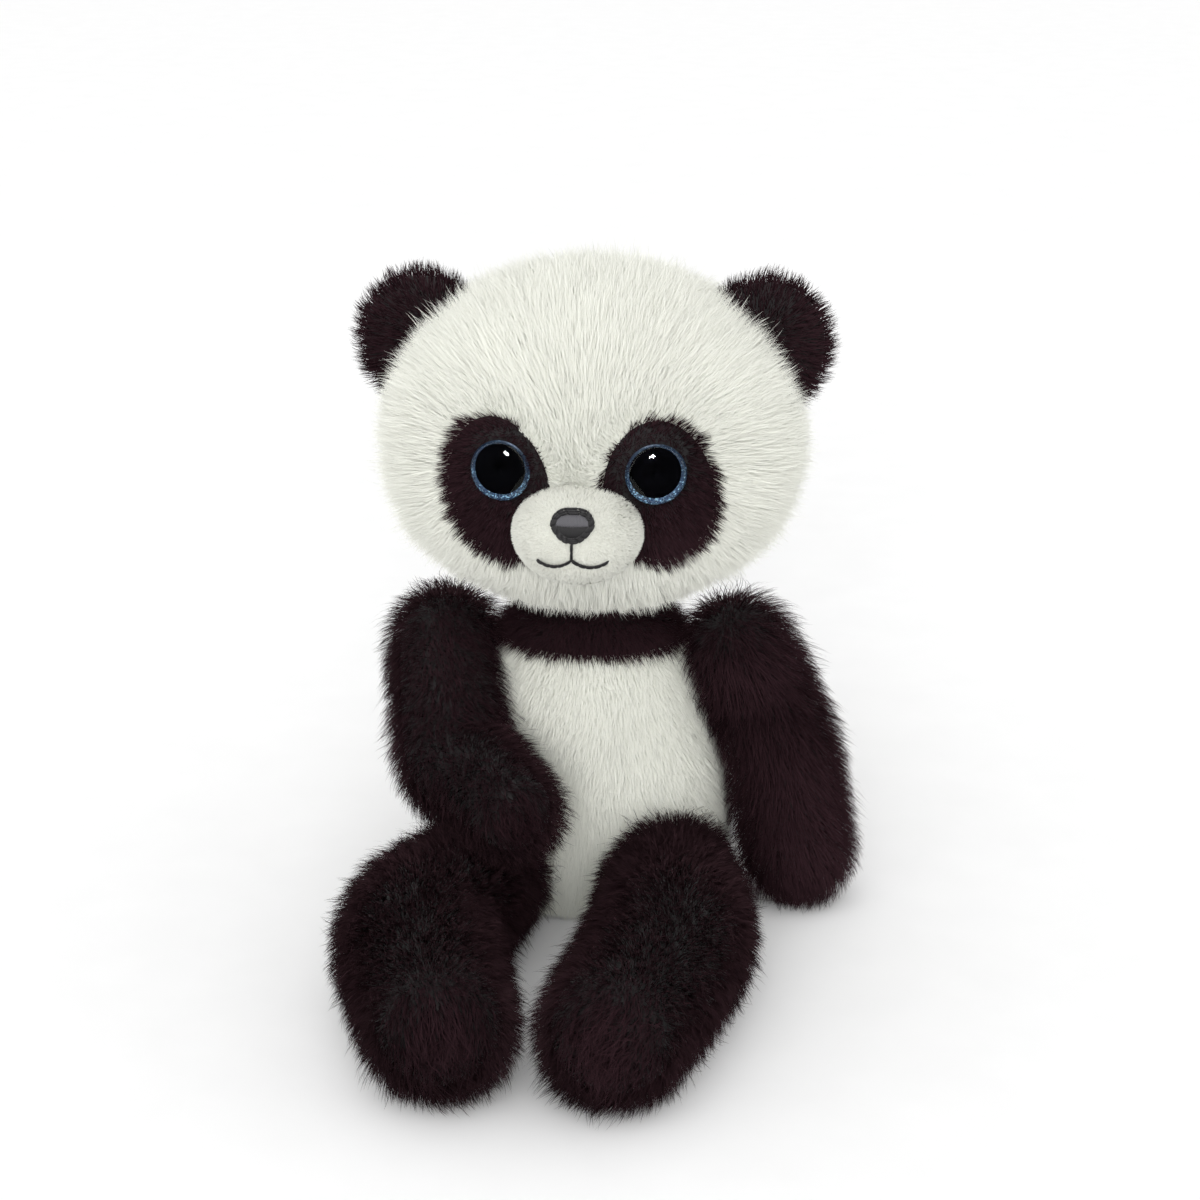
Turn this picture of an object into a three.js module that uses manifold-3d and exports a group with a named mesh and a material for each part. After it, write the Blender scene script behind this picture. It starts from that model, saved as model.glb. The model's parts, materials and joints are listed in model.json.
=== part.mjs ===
// Plush panda, sitting, sewn from pile fabric panels over loose fibre stuffing.
// Millimetres, +Z up, the face looks along -Y, the toy's own left is +X.
// The cover is modelled at the height of the brushed-down pile.
import * as THREE from 'three';
import Module from 'manifold-3d';
import { mergeVertices } from 'three/addons/utils/BufferGeometryUtils.js';

// ---- driving dimensions -------------------------------------------------
const HEAD_WIDTH = 119;
const HEAD_DEPTH = 101;
const HEAD_HEIGHT = 99;
const TORSO_HEIGHT = 95;
const TORSO_WIDTH = 86;
const TORSO_DEPTH = 61;
const TORSO_LEAN = 0.1;          // backward shift per unit of height
const ARM_RADIUS = 17;
const LAP_HAND_RADIUS = 14;
const LEG_RADIUS = 21.5;
const FOOT_RADIUS = 19.5;
const HIP_RADIUS = 15;
const EYE_DIAMETER = 18;
const EAR_WIDTH = 38;
const EAR_HEIGHT = 41;
const EAR_THICKNESS = 12;
const EAR_LIFT = 33;             // angle of the ear above level, seen from the front

// ---- fits and cloth -----------------------------------------------------
const SEAM_GAP = 0.3;            // between two panels at a seam
const LAYER_GAP = 0.3;           // between the cover and what it holds
const LOOSE_FILL = 1.5;          // between a limb's cover and its loose fibre
const JOINT_GAP = 1.0;           // between two limb parts at a crease
const COVER = 2.4;               // thickness of backing and dense underpile
const SHORT_PILE_COVER = 1.6;
const EAR_COVER = 2.0;
const THREAD = 1.3;              // height of the embroidery
const FAR = 400;                 // larger than the whole toy

// ---- facets ---------------------------------------------------------------
const HEAD_SEGMENTS = 28;
const HEAD_LEVELS = 16;
const LIMB_SEGMENTS = 16;
const HOLLOW_SEGMENTS = 16;
const EYE_SEGMENTS = 18;

// ---- derived layout -----------------------------------------------------
const NECK_RADIUS = 0.18 * TORSO_HEIGHT;
const neckPivot = new THREE.Vector3(0, TORSO_LEAN * TORSO_HEIGHT, TORSO_HEIGHT - 1);
const headCentre = new THREE.Vector3(
  0, neckPivot.y - 1.5, neckPivot.z + 0.545 * HEAD_HEIGHT);
const bandHeight = 0.88 * TORSO_HEIGHT;
const SEAT_SEAM_HEIGHT = 7;
const sideSeamY = -0.06 * TORSO_DEPTH;
const shoulderHeight = TORSO_HEIGHT - 0.9 * ARM_RADIUS;
const shoulderReach = 0.335 * TORSO_WIDTH + ARM_RADIUS;
const armRun = 0.33 * TORSO_HEIGHT;
const LAP_CLEARANCE = 7.6;         // under the bent elbow, over the root of the thigh

const RAISE_AXIS = new THREE.Vector3(-1, 0, 0);

// side = +1 is the toy's left, side = -1 its right
const arms = {
  left: {
    side: 1,
    shoulder: new THREE.Vector3(shoulderReach, 6, shoulderHeight),
    elbow: new THREE.Vector3(shoulderReach + 0.17 * TORSO_WIDTH, 2, shoulderHeight - armRun),
    hand: new THREE.Vector3(
      shoulderReach + 0.24 * TORSO_WIDTH, -3, ARM_RADIUS + 0.8),
    handRadius: ARM_RADIUS,
    bend: 35,
    bendAxis: new THREE.Vector3(0, -1, 0),
    roomAt: [0],
  },
  right: {
    side: -1,
    shoulder: new THREE.Vector3(-shoulderReach, 5, shoulderHeight),
    elbow: new THREE.Vector3(
      -shoulderReach + 7, -1.65 * ARM_RADIUS, 2 * HIP_RADIUS + ARM_RADIUS + LAP_CLEARANCE),
    hand: new THREE.Vector3(
      -0.22 * TORSO_WIDTH, -0.89 * TORSO_DEPTH, 2 * HIP_RADIUS + LAP_HAND_RADIUS + 5.5),
    handRadius: LAP_HAND_RADIUS,
    bend: 25,
    bendAxis: new THREE.Vector3(-1, 0, 0),
    roomAt: [0, 18, 35],           // raised angles for which the trunk gives way
  },
};
const hipReach = 0.31 * TORSO_WIDTH;
const hipY = -0.29 * TORSO_DEPTH;
const legs = {
  left: {
    side: 1,
    hip: new THREE.Vector3(hipReach, hipY, HIP_RADIUS + 1),
    knee: new THREE.Vector3(hipReach + 4, hipY - 2.7 * LEG_RADIUS, LEG_RADIUS),
    foot: new THREE.Vector3(hipReach - 9, hipY - 5.1 * LEG_RADIUS, FOOT_RADIUS),
  },
  right: {
    side: -1,
    hip: new THREE.Vector3(-hipReach, hipY, HIP_RADIUS + 1),
    knee: new THREE.Vector3(-hipReach - 16, hipY - 2.9 * LEG_RADIUS, LEG_RADIUS),
    foot: new THREE.Vector3(-hipReach - 3, hipY - 5.1 * LEG_RADIUS, FOOT_RADIUS),
  },
};
const KNEE_LIFT = 35;
const HIP_SPREAD = [-2, 10];

// ---- materials ----------------------------------------------------------
const cloth = (color, roughness = 0.95) => (
  new THREE.MeshStandardMaterial({ color, roughness, metalness: 0 }));
const materials = {
  white_pile: cloth(0xe9eae1),
  dark_pile: cloth(0x2a1d21),
  short_pile: cloth(0xeeece2, 0.9),
  fibre: cloth(0xf6f6f2, 1),
  pellets: cloth(0xd9d6cc, 0.8),
  grey_thread: cloth(0x6d6c6e, 0.6),
  black_thread: cloth(0x17151a, 0.6),
  clear_plastic: new THREE.MeshStandardMaterial({
    color: 0xdfe8f0, roughness: 0.05, metalness: 0, transparent: true, opacity: 0.35 }),
  black_paint: cloth(0x050507, 0.3),
  glitter_foil: new THREE.MeshStandardMaterial({
    color: 0x1c3f66, roughness: 0.35, metalness: 0.6 }),
  white_plastic: cloth(0xe4e4e0, 0.5),
};

// ---- solids -------------------------------------------------------------
const wasm = await Module();
wasm.setup();

function solid(geometry) {
  const bare = geometry.clone();
  bare.deleteAttribute('normal');
  bare.deleteAttribute('uv');
  const merged = mergeVertices(bare, 1e-4);
  return new wasm.Manifold(new wasm.Mesh({
    numProp: 3,
    vertProperties: new Float32Array(merged.attributes.position.array),
    triVerts: new Uint32Array(merged.index.array),
  }));
}

// A closed skin over rings of points, with one point closing each end.
function ringGeometry(rings, start, end) {
  const n = rings[0].length;
  const positions = [...start.toArray()];
  rings.forEach((ring) => ring.forEach((p) => positions.push(p.x, p.y, p.z)));
  positions.push(...end.toArray());
  const last = rings.length * n + 1;
  const at = (i, j) => 1 + i * n + (j % n);
  const index = [];
  for (let j = 0; j < n; j += 1) {
    index.push(0, at(0, j + 1), at(0, j));
    index.push(last, at(rings.length - 1, j), at(rings.length - 1, j + 1));
    for (let i = 0; i + 1 < rings.length; i += 1) {
      index.push(at(i, j), at(i, j + 1), at(i + 1, j));
      index.push(at(i, j + 1), at(i + 1, j + 1), at(i + 1, j));
    }
  }
  const geometry = new THREE.BufferGeometry();
  geometry.setAttribute('position', new THREE.Float32BufferAttribute(positions, 3));
  geometry.setIndex(index);
  return geometry;
}

function ellipseRing(centre, rx, ry, segments) {
  return Array.from({ length: segments }, (_, j) => {
    const a = (2 * Math.PI * j) / segments;
    return new THREE.Vector3(
      centre.x + rx * Math.cos(a), centre.y + ry * Math.sin(a), centre.z);
  });
}

// An upright rounded body; fullness above 1 squares up its lower half.
function roundBody(centre, rx, ry, rz, segments, levels, fullness = 1) {
  const rings = [];
  for (let i = 1; i < levels; i += 1) {
    const t = -Math.PI / 2 + (Math.PI * i) / levels;
    const power = t < 0 ? 1 / fullness : 1;
    const spread = Math.cos(t) ** power;
    const p = new THREE.Vector3(centre.x, centre.y, centre.z + rz * Math.sin(t));
    rings.push(ellipseRing(p, rx * spread, ry * spread, segments));
  }
  const pole = (s) => new THREE.Vector3(centre.x, centre.y, centre.z + s * rz);
  return ringGeometry(rings, pole(-1), pole(1));
}

function ball(centre, radius, segments = HOLLOW_SEGMENTS) {
  return solid(roundBody(centre, radius, radius, radius, segments, segments / 2));
}

// A tapered limb with round ends centred on a and b.
function limbGeometry(a, b, ra, rb, inset = 0, segments = LIMB_SEGMENTS, capLevels = 4) {
  const length = a.distanceTo(b);
  const turn = new THREE.Quaternion().setFromUnitVectors(
    new THREE.Vector3(0, 0, 1), b.clone().sub(a).normalize());
  const rows = [];
  for (let i = 1; i <= capLevels; i += 1) {
    const t = (Math.PI / 2) * (i / capLevels);
    rows.push([-(ra - inset) * Math.cos(t), (ra - inset) * Math.sin(t)]);
  }
  rows.push([length / 2, (ra + rb) / 2 - inset]);
  for (let i = capLevels; i >= 1; i -= 1) {
    const t = (Math.PI / 2) * (i / capLevels);
    rows.push([length + (rb - inset) * Math.cos(t), (rb - inset) * Math.sin(t)]);
  }
  const place = (p) => p.applyQuaternion(turn).add(a);
  const rings = rows.map(([z, r]) => (
    ellipseRing(new THREE.Vector3(0, 0, z), r, r, segments).map(place)));
  return ringGeometry(
    rings,
    place(new THREE.Vector3(0, 0, -(ra - inset))),
    place(new THREE.Vector3(0, 0, length + rb - inset)));
}

// Everything on the low side of a plane through a point.
function below(point, normal) {
  const geometry = new THREE.BoxGeometry(2 * FAR, 2 * FAR, 2 * FAR);
  geometry.translate(0, 0, -FAR);
  geometry.applyQuaternion(new THREE.Quaternion().setFromUnitVectors(
    new THREE.Vector3(0, 0, 1), normal.clone().normalize()));
  geometry.translate(point.x, point.y, point.z);
  return solid(geometry);
}

const axisX = new THREE.Vector3(1, 0, 0);
const axisY = new THREE.Vector3(0, 1, 0);
const axisZ = new THREE.Vector3(0, 0, 1);
const lessThan = (axis, d) => below(axis.clone().multiplyScalar(d), axis);
const moreThan = (axis, d) => (
  below(axis.clone().multiplyScalar(d), axis.clone().negate()));

function turned(geometry, pivot, axis, degrees) {
  const copy = geometry.clone();
  copy.translate(-pivot.x, -pivot.y, -pivot.z);
  copy.applyQuaternion(new THREE.Quaternion().setFromAxisAngle(
    axis.clone().normalize(), THREE.MathUtils.degToRad(degrees)));
  copy.translate(pivot.x, pivot.y, pivot.z);
  return copy;
}

// A flat outline pushed along Y from the front of the toy to its middle.
function frontPrism(outline, depthEnd) {
  const geometry = new THREE.ExtrudeGeometry(new THREE.Shape(outline), {
    depth: FAR, bevelEnabled: false });
  geometry.rotateX(Math.PI / 2);
  geometry.translate(0, depthEnd, 0);
  return solid(geometry);
}

function ovalOutline(x, z, rx, rz, tilt, segments = 28) {
  return Array.from({ length: segments }, (_, j) => {
    const a = (2 * Math.PI * j) / segments;
    const u = rx * Math.cos(a);
    const v = rz * Math.sin(a);
    return new THREE.Vector2(
      x + u * Math.cos(tilt) - v * Math.sin(tilt),
      z + u * Math.sin(tilt) + v * Math.cos(tilt));
  });
}

const group = new THREE.Group();
group.name = 'plush_panda';

function addNode(name, body, material) {
  const data = body.getMesh();
  const geometry = new THREE.BufferGeometry();
  geometry.setAttribute('position', new THREE.BufferAttribute(
    new Float32Array(data.vertProperties), 3));
  geometry.setIndex(new THREE.BufferAttribute(new Uint32Array(data.triVerts), 1));
  geometry.computeVertexNormals();
  const mesh = new THREE.Mesh(geometry, materials[material]);
  mesh.name = name;
  group.add(mesh);
}

// ---- head ---------------------------------------------------------------
const headBody = (inset, coarse = 1) => solid(roundBody(
  headCentre,
  HEAD_WIDTH / 2 - inset, HEAD_DEPTH / 2 - inset, HEAD_HEIGHT / 2 - inset,
  HEAD_SEGMENTS / coarse, HEAD_LEVELS / coarse, 1.25));
const headOuter = headBody(0);
const neckHollow = ball(neckPivot, NECK_RADIUS + JOINT_GAP);
const headShell = headOuter.subtract(headBody(COVER)).subtract(neckHollow);

const faceSeamY = headCentre.y - 0.16 * HEAD_DEPTH;
const chinSeamZ = headCentre.z - 0.30 * HEAD_HEIGHT;
const gussetHalf = 0.2 * HEAD_WIDTH;
const half = SEAM_GAP / 2;

// face furniture
const muzzleCentre = new THREE.Vector3(
  0, headCentre.y - 0.475 * HEAD_DEPTH, headCentre.z - 0.155 * HEAD_HEIGHT);
const MUZZLE_X = 0.16 * HEAD_WIDTH;
const MUZZLE_Y = 0.18 * HEAD_DEPTH;
const MUZZLE_Z = 0.15 * HEAD_HEIGHT;
const muzzleBody = (inset, coarse = 1) => solid(roundBody(
  muzzleCentre, MUZZLE_X - inset, MUZZLE_Y - inset, MUZZLE_Z - inset,
  20 / coarse, 12 / coarse));
const patchX = 0.195 * HEAD_WIDTH;
const patchZ = headCentre.z - 0.05 * HEAD_HEIGHT;
const PATCH_TILT = 0.14;         // both patches lean the same way
const patchOutline = (side, grow) => ovalOutline(
  side * patchX, patchZ, 0.144 * HEAD_WIDTH + grow, 0.235 * HEAD_HEIGHT + grow,
  PATCH_TILT);
const eyeX = 0.189 * HEAD_WIDTH;
const eyeZ = headCentre.z + 0.021 * HEAD_HEIGHT;

const surfaceY = (x, z) => headCentre.y - (HEAD_DEPTH / 2) * Math.sqrt(
  1 - (2 * x / HEAD_WIDTH) ** 2 - (2 * (z - headCentre.z) / HEAD_HEIGHT) ** 2);

// Eye profiles: radius and height above the eye's back plane.
const EYE_R = EYE_DIAMETER / 2;
const POST_R = 0.13 * EYE_DIAMETER;
const POST_LENGTH = 0.75 * EYE_DIAMETER;
const FOIL = 0.6;
const PAINT = 0.4;
const STACK_GAP = 0.1;
const lensBase = FOIL + PAINT + 2 * STACK_GAP;
const domeHeight = 0.27 * EYE_DIAMETER;
const WASHER_R = 0.42 * EYE_DIAMETER;
const WASHER_THICK = 1.6;
const washerTop = -(COVER + 2.8);   // behind the curved backing
const SLIP = 0.15;

function lathe(points, segments = EYE_SEGMENTS) {
  const geometry = new THREE.LatheGeometry(
    points.map(([r, h]) => new THREE.Vector2(r, h)), segments);
  geometry.rotateX(Math.PI / 2);
  return geometry;
}
function ringProfile(inner, outer, low, high) {
  return [[inner, low], [outer, low], [outer, high], [inner, high], [inner, low]];
}
function lensProfile() {
  const profile = [[0, -POST_LENGTH], [POST_R, -POST_LENGTH], [POST_R, lensBase]];
  const steps = 6;
  for (let i = 0; i <= steps; i += 1) {
    const t = (Math.PI / 2) * (i / steps);
    profile.push([
      EYE_R * 0.97 * Math.cos(t), lensBase + 0.4 + domeHeight * Math.sin(t)]);
  }
  profile.splice(3, 0, [EYE_R * 0.97, lensBase]);
  profile[profile.length - 1][0] = 0;
  return profile;
}
function eyeSet(side) {
  const seat = new THREE.Vector3(
    side * eyeX, surfaceY(eyeX, eyeZ) + 0.4, eyeZ);
  const out = new THREE.Vector3(side * 0.2, -1, 0.03).normalize();
  const turn = new THREE.Quaternion().setFromUnitVectors(axisZ, out);
  const place = (geometry) => {
    geometry.applyQuaternion(turn);
    geometry.translate(seat.x, seat.y, seat.z);
    return solid(geometry);
  };
  return {
    lens: place(lathe(lensProfile())),
    pupil: place(lathe(ringProfile(
      POST_R + SLIP, EYE_R * 0.8, FOIL + STACK_GAP, FOIL + STACK_GAP + PAINT))),
    foil: place(lathe(ringProfile(POST_R + SLIP, EYE_R, 0, FOIL))),
    washer: place(lathe(ringProfile(
      POST_R + SLIP, WASHER_R, washerTop - WASHER_THICK, washerTop))),
    recess: place(lathe([
      [0, -LAYER_GAP], [EYE_R + LAYER_GAP, -LAYER_GAP], [EYE_R + LAYER_GAP, 12], [0, 12]])),
    postHole: place(lathe([
      [0, -POST_LENGTH - LAYER_GAP], [POST_R + LAYER_GAP, -POST_LENGTH - LAYER_GAP],
      [POST_R + LAYER_GAP, 12], [0, 12]])),
    washerRoom: place(lathe([
      [0, washerTop - WASHER_THICK - LAYER_GAP],
      [WASHER_R + LAYER_GAP, washerTop - WASHER_THICK - LAYER_GAP],
      [WASHER_R + LAYER_GAP, 0], [0, 0]])),
  };
}
const eyes = { left: eyeSet(1), right: eyeSet(-1) };

// panels
const front = lessThan(axisY, faceSeamY - half);
const rear = moreThan(axisY, faceSeamY + half);
const muzzleHole = muzzleBody(-LAYER_GAP);
let face = headShell.intersect(front).intersect(moreThan(axisZ, chinSeamZ + half));
face = face.subtract(muzzleHole);
const chin = headShell.intersect(front)
  .intersect(lessThan(axisZ, chinSeamZ - half)).subtract(muzzleHole);
['left', 'right'].forEach((name) => {
  const side = name === 'left' ? 1 : -1;
  const eye = eyes[name];
  let patch = headShell.intersect(front)
    .intersect(frontPrism(patchOutline(side, 0), headCentre.y));
  patch = patch.subtract(muzzleHole).subtract(eye.recess).subtract(eye.postHole);
  face = face.subtract(frontPrism(patchOutline(side, SEAM_GAP), headCentre.y));
  addNode(`eye_patch_${name}`, patch, 'dark_pile');
  addNode(`eye_lens_${name}`, eye.lens, 'clear_plastic');
  addNode(`eye_pupil_${name}`, eye.pupil, 'black_paint');
  addNode(`eye_glitter_disc_${name}`, eye.foil, 'glitter_foil');
  addNode(`eye_lock_washer_${name}`, eye.washer, 'white_plastic');
  const cheek = headShell.intersect(rear).intersect(
    side > 0 ? moreThan(axisX, gussetHalf + half) : lessThan(axisX, -gussetHalf - half));
  addNode(`head_side_${name}`, cheek, 'white_pile');
});
face = face.subtract(eyes.left.recess).subtract(eyes.right.recess);
addNode('face_panel', face, 'white_pile');
addNode('chin_panel', chin, 'white_pile');
addNode('crown_gusset', headShell.intersect(rear)
  .intersect(lessThan(axisX, gussetHalf - half))
  .intersect(moreThan(axisX, -gussetHalf + half)), 'white_pile');

const stuffingInset = COVER + LAYER_GAP;
let headStuffing = headBody(stuffingInset, 2).subtract(neckHollow);
Object.values(eyes).forEach((eye) => {
  headStuffing = headStuffing.subtract(eye.postHole).subtract(eye.washerRoom);
});
headStuffing = headStuffing.subtract(muzzleHole);
addNode('head_stuffing', headStuffing, 'fibre');

// muzzle: a short-pile cup sewn to the face, with its own pinch of fibre
const muzzleBack = moreThan(axisY, muzzleCentre.y + 0.45 * MUZZLE_Y);
let muzzleCover = muzzleBody(0).subtract(muzzleBody(SHORT_PILE_COVER)).subtract(muzzleBack);
Object.values(eyes).forEach((eye) => {
  muzzleCover = muzzleCover.subtract(eye.recess);
});
const muzzleFill = muzzleBody(SHORT_PILE_COVER + LAYER_GAP).subtract(muzzleBack);
addNode('muzzle_cover', muzzleCover, 'short_pile');
addNode('muzzle_stuffing', muzzleFill, 'fibre');

// embroidery: thin layers that follow the muzzle
const threadLayer = muzzleBody(-LAYER_GAP / 2 - THREAD).subtract(muzzleBody(-LAYER_GAP / 2));
const noseZ = muzzleCentre.z + 0.46 * MUZZLE_Z;
const NOSE_HALF = 0.29 * MUZZLE_X;
const NOSE_DROP = 0.25 * MUZZLE_Z;
function noseOutline(grow) {
  const w = NOSE_HALF + grow;
  const h = NOSE_DROP + grow;
  const points = [];
  const steps = 20;
  for (let i = 0; i < steps; i += 1) {
    const a = (2 * Math.PI * i) / steps;
    const narrow = Math.sin(a) < 0 ? 1 - 0.35 * Math.abs(Math.sin(a)) : 1;
    points.push(new THREE.Vector2(
      w * Math.sign(Math.cos(a)) * Math.abs(Math.cos(a)) ** 0.7 * narrow,
      noseZ + h * Math.sin(a)));
  }
  return points;
}
const noseSplitZ = noseZ - 0.05 * MUZZLE_Z;
const greyRegion = frontPrism(noseOutline(-0.7), muzzleCentre.y)
  .intersect(moreThan(axisZ, noseSplitZ));
const greyRoom = frontPrism(noseOutline(-0.7 + 0.15), muzzleCentre.y)
  .intersect(moreThan(axisZ, noseSplitZ - 0.15));
addNode('nose_satin_stitch', threadLayer.intersect(greyRegion), 'grey_thread');
addNode('nose_outline_stitch', threadLayer.intersect(
  frontPrism(noseOutline(0.6), muzzleCentre.y)).subtract(greyRoom), 'black_thread');

// mouth: a stem and two curved lines in one run of thread
const STITCH = 0.55;
function stitchPrism(points) {
  const left = [];
  const right = [];
  points.forEach((p, i) => {
    const a = points[Math.max(0, i - 1)];
    const b = points[Math.min(points.length - 1, i + 1)];
    const n = new THREE.Vector2(-(b.y - a.y), b.x - a.x).normalize().multiplyScalar(STITCH);
    left.push(p.clone().add(n));
    right.unshift(p.clone().sub(n));
  });
  return frontPrism(left.concat(right), muzzleCentre.y);
}
const mouthTop = noseZ - NOSE_DROP - 0.6 - LAYER_GAP;
const mouthFork = mouthTop - 0.36 * MUZZLE_Z;
const MOUTH_HALF = 0.54 * MUZZLE_X;
const smile = (side) => Array.from({ length: 9 }, (_, i) => {
  const t = i / 8;
  return new THREE.Vector2(
    side * MOUTH_HALF * t,
    mouthFork + MUZZLE_Z * (-0.075 * t - 0.5 * t * (1 - t)));
});
const stem = [new THREE.Vector2(0, mouthTop), new THREE.Vector2(0, mouthFork - STITCH)];
const mouthRegion = stitchPrism(stem).add(stitchPrism(smile(1))).add(stitchPrism(smile(-1)));
addNode('mouth_stitch', threadLayer.intersect(mouthRegion), 'black_thread');

// ---- ears ---------------------------------------------------------------
const earPivots = {};
['left', 'right'].forEach((name) => {
  const side = name === 'left' ? 1 : -1;
  const lift = THREE.MathUtils.degToRad(EAR_LIFT);
  const reach = new THREE.Vector3(side * Math.cos(lift), 0, Math.sin(lift));
  const rim = new THREE.Vector3(
    headCentre.x + reach.x * HEAD_WIDTH / 2, headCentre.y + 3,
    headCentre.z + reach.z * HEAD_HEIGHT / 2);
  const centre = rim.clone().addScaledVector(reach, 0.06 * EAR_WIDTH);
  const disc = (inset) => {
    const geometry = roundBody(
      new THREE.Vector3(), EAR_WIDTH / 2 - inset, EAR_THICKNESS / 2 - inset,
      EAR_HEIGHT / 2 - inset, 18, 10);
    geometry.rotateY(side * THREE.MathUtils.degToRad(12));
    geometry.translate(centre.x, centre.y, centre.z);
    return solid(geometry);
  };
  const clearOfHead = headBody(-0.22 * EAR_THICKNESS);
  const shell = disc(0).subtract(disc(EAR_COVER)).subtract(clearOfHead);
  addNode(`ear_front_${name}`, shell.intersect(lessThan(axisY, centre.y - half)), 'dark_pile');
  addNode(`ear_back_${name}`, shell.intersect(moreThan(axisY, centre.y + half)), 'dark_pile');
  earPivots[name] = {
    point: rim, axis: new THREE.Vector3(-side * reach.z, 0, side * reach.x) };
});

// ---- torso --------------------------------------------------------------
const torsoStations = [
  [0, 0.39, 0.39], [0.05, 0.46, 0.46], [0.27, 0.5, 0.5], [0.6, 0.44, 0.47],
  [0.84, 0.36, 0.4], [0.95, 0.28, 0.3], [1, 0.17, 0.2]];
function torsoBody(inset, segments = 28) {
  const rings = torsoStations.map(([h, w, d]) => {
    const z = Math.min(Math.max(h * TORSO_HEIGHT, inset), TORSO_HEIGHT - inset);
    return ellipseRing(
      new THREE.Vector3(0, TORSO_LEAN * z, z),
      w * TORSO_WIDTH - inset, d * TORSO_DEPTH - inset, segments);
  });
  const low = new THREE.Vector3(0, TORSO_LEAN * inset, inset);
  const high = new THREE.Vector3(
    0, TORSO_LEAN * TORSO_HEIGHT, TORSO_HEIGHT - inset);
  return solid(ringGeometry(rings, low, high));
}

// ---- limbs --------------------------------------------------------------
// One limb part: two sewn cover panels around a fibre core.
function limbPart(name, a, b, ra, rb, seamAcross, cuts, keep, fillShort = 0) {
  const outer = solid(limbGeometry(a, b, ra, rb));
  const trim = (body) => {
    let result = body;
    cuts.forEach((cut) => { result = result.subtract(cut); });
    keep.forEach((room) => { result = result.intersect(room); });
    return result;
  };
  const shell = trim(outer.subtract(solid(limbGeometry(a, b, ra, rb, COVER))));
  const along = b.clone().sub(a).normalize();
  const across = seamAcross.clone().addScaledVector(along, -seamAcross.dot(along)).normalize();
  const shift = across.clone().multiplyScalar(half);
  addNode(`${name}_upper_panel`, shell.intersect(
    below(a.clone().add(shift), across.clone().negate())), 'dark_pile');
  addNode(`${name}_under_panel`, shell.intersect(
    below(a.clone().sub(shift), across)), 'dark_pile');
  const fillEnd = b.clone().addScaledVector(along, -fillShort);
  addNode(`${name}_stuffing`, trim(solid(limbGeometry(
    a, fillEnd, ra, rb, COVER + LOOSE_FILL, 10, 3))), 'fibre');
}

// The near part of a limb stops short of the crease and is hollowed around
// the round end of the far part, so the far part can bend in it.
function creaseCuts(pivot, radius, bend, along) {
  const back = radius * Math.sin(THREE.MathUtils.degToRad(bend)) + JOINT_GAP;
  return {
    hollow: ball(pivot, radius + JOINT_GAP),
    room: below(pivot.clone().addScaledVector(along, -back), along),
  };
}

const FILL_ROOM = 3.5;
const torsoRoom = [];
const fillRoom = [];
Object.entries(arms).forEach(([name, arm]) => {
  const along = arm.elbow.clone().sub(arm.shoulder).normalize();
  const crease = creaseCuts(arm.elbow, ARM_RADIUS, arm.bend, along);
  const forearm = limbGeometry(
    arm.elbow, arm.hand, ARM_RADIUS, arm.handRadius, -JOINT_GAP - 0.4, 12, 3);
  const sweep = [0, 1].map((part) => (
    solid(turned(forearm, arm.elbow, arm.bendAxis, part * arm.bend))));
  limbPart(`upper_arm_${name}`, arm.shoulder, arm.elbow, ARM_RADIUS, ARM_RADIUS,
    new THREE.Vector3(0, -1, 0.2), [crease.hollow, ...sweep], [crease.room],
    0.6 * ARM_RADIUS);
  limbPart(`forearm_${name}`, arm.elbow, arm.hand, ARM_RADIUS, arm.handRadius,
    new THREE.Vector3(-0.2 * arm.side, -1, 0.4), [], []);
  const upperArm = limbGeometry(arm.shoulder, arm.elbow, ARM_RADIUS, ARM_RADIUS, -JOINT_GAP);
  arm.roomAt.forEach((raise) => {
    torsoRoom.push(solid(turned(upperArm, arm.shoulder, RAISE_AXIS, raise)));
  });
  fillRoom.push(solid(limbGeometry(
    arm.shoulder, arm.elbow, ARM_RADIUS, ARM_RADIUS, -FILL_ROOM, 10, 2)));
});
Object.entries(legs).forEach(([name, leg]) => {
  const along = leg.knee.clone().sub(leg.hip).normalize();
  const crease = creaseCuts(leg.knee, LEG_RADIUS, KNEE_LIFT, along);
  limbPart(`thigh_${name}`, leg.hip, leg.knee, HIP_RADIUS, LEG_RADIUS,
    axisZ, [crease.hollow], [crease.room]);
  limbPart(`foot_${name}`, leg.knee, leg.foot, LEG_RADIUS, FOOT_RADIUS, axisZ, [], []);
  const thigh = limbGeometry(leg.hip, leg.knee, HIP_RADIUS, LEG_RADIUS, -JOINT_GAP);
  HIP_SPREAD.forEach((spread) => {
    torsoRoom.push(solid(turned(thigh, leg.hip, axisZ, leg.side * spread)));
  });
  fillRoom.push(solid(limbGeometry(
    leg.hip, leg.knee, HIP_RADIUS, LEG_RADIUS, -FILL_ROOM, 10, 2)));
});

// ---- torso cover and filling -------------------------------------------
let torsoShell = torsoBody(0).subtract(torsoBody(COVER));
let torsoFill = torsoBody(stuffingInset + 2, 16);
torsoRoom.forEach((room) => {
  torsoShell = torsoShell.subtract(room);
});
fillRoom.forEach((room) => {
  torsoFill = torsoFill.subtract(room);
});
const aboveSeat = moreThan(axisZ, SEAT_SEAM_HEIGHT + half);
const trunk = torsoShell.intersect(aboveSeat);
const belowBand = lessThan(axisZ, bandHeight - half);
const aboveBand = moreThan(axisZ, bandHeight + half);
const torsoFront = lessThan(axisY, sideSeamY - half);
const torsoRear = moreThan(axisY, sideSeamY + half);
addNode('seat_panel', torsoShell.intersect(lessThan(axisZ, SEAT_SEAM_HEIGHT - half)),
  'white_pile');
addNode('belly_panel', trunk.intersect(belowBand).intersect(torsoFront), 'white_pile');
addNode('back_panel_left', trunk.intersect(belowBand).intersect(torsoRear)
  .intersect(moreThan(axisX, half)), 'white_pile');
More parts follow.
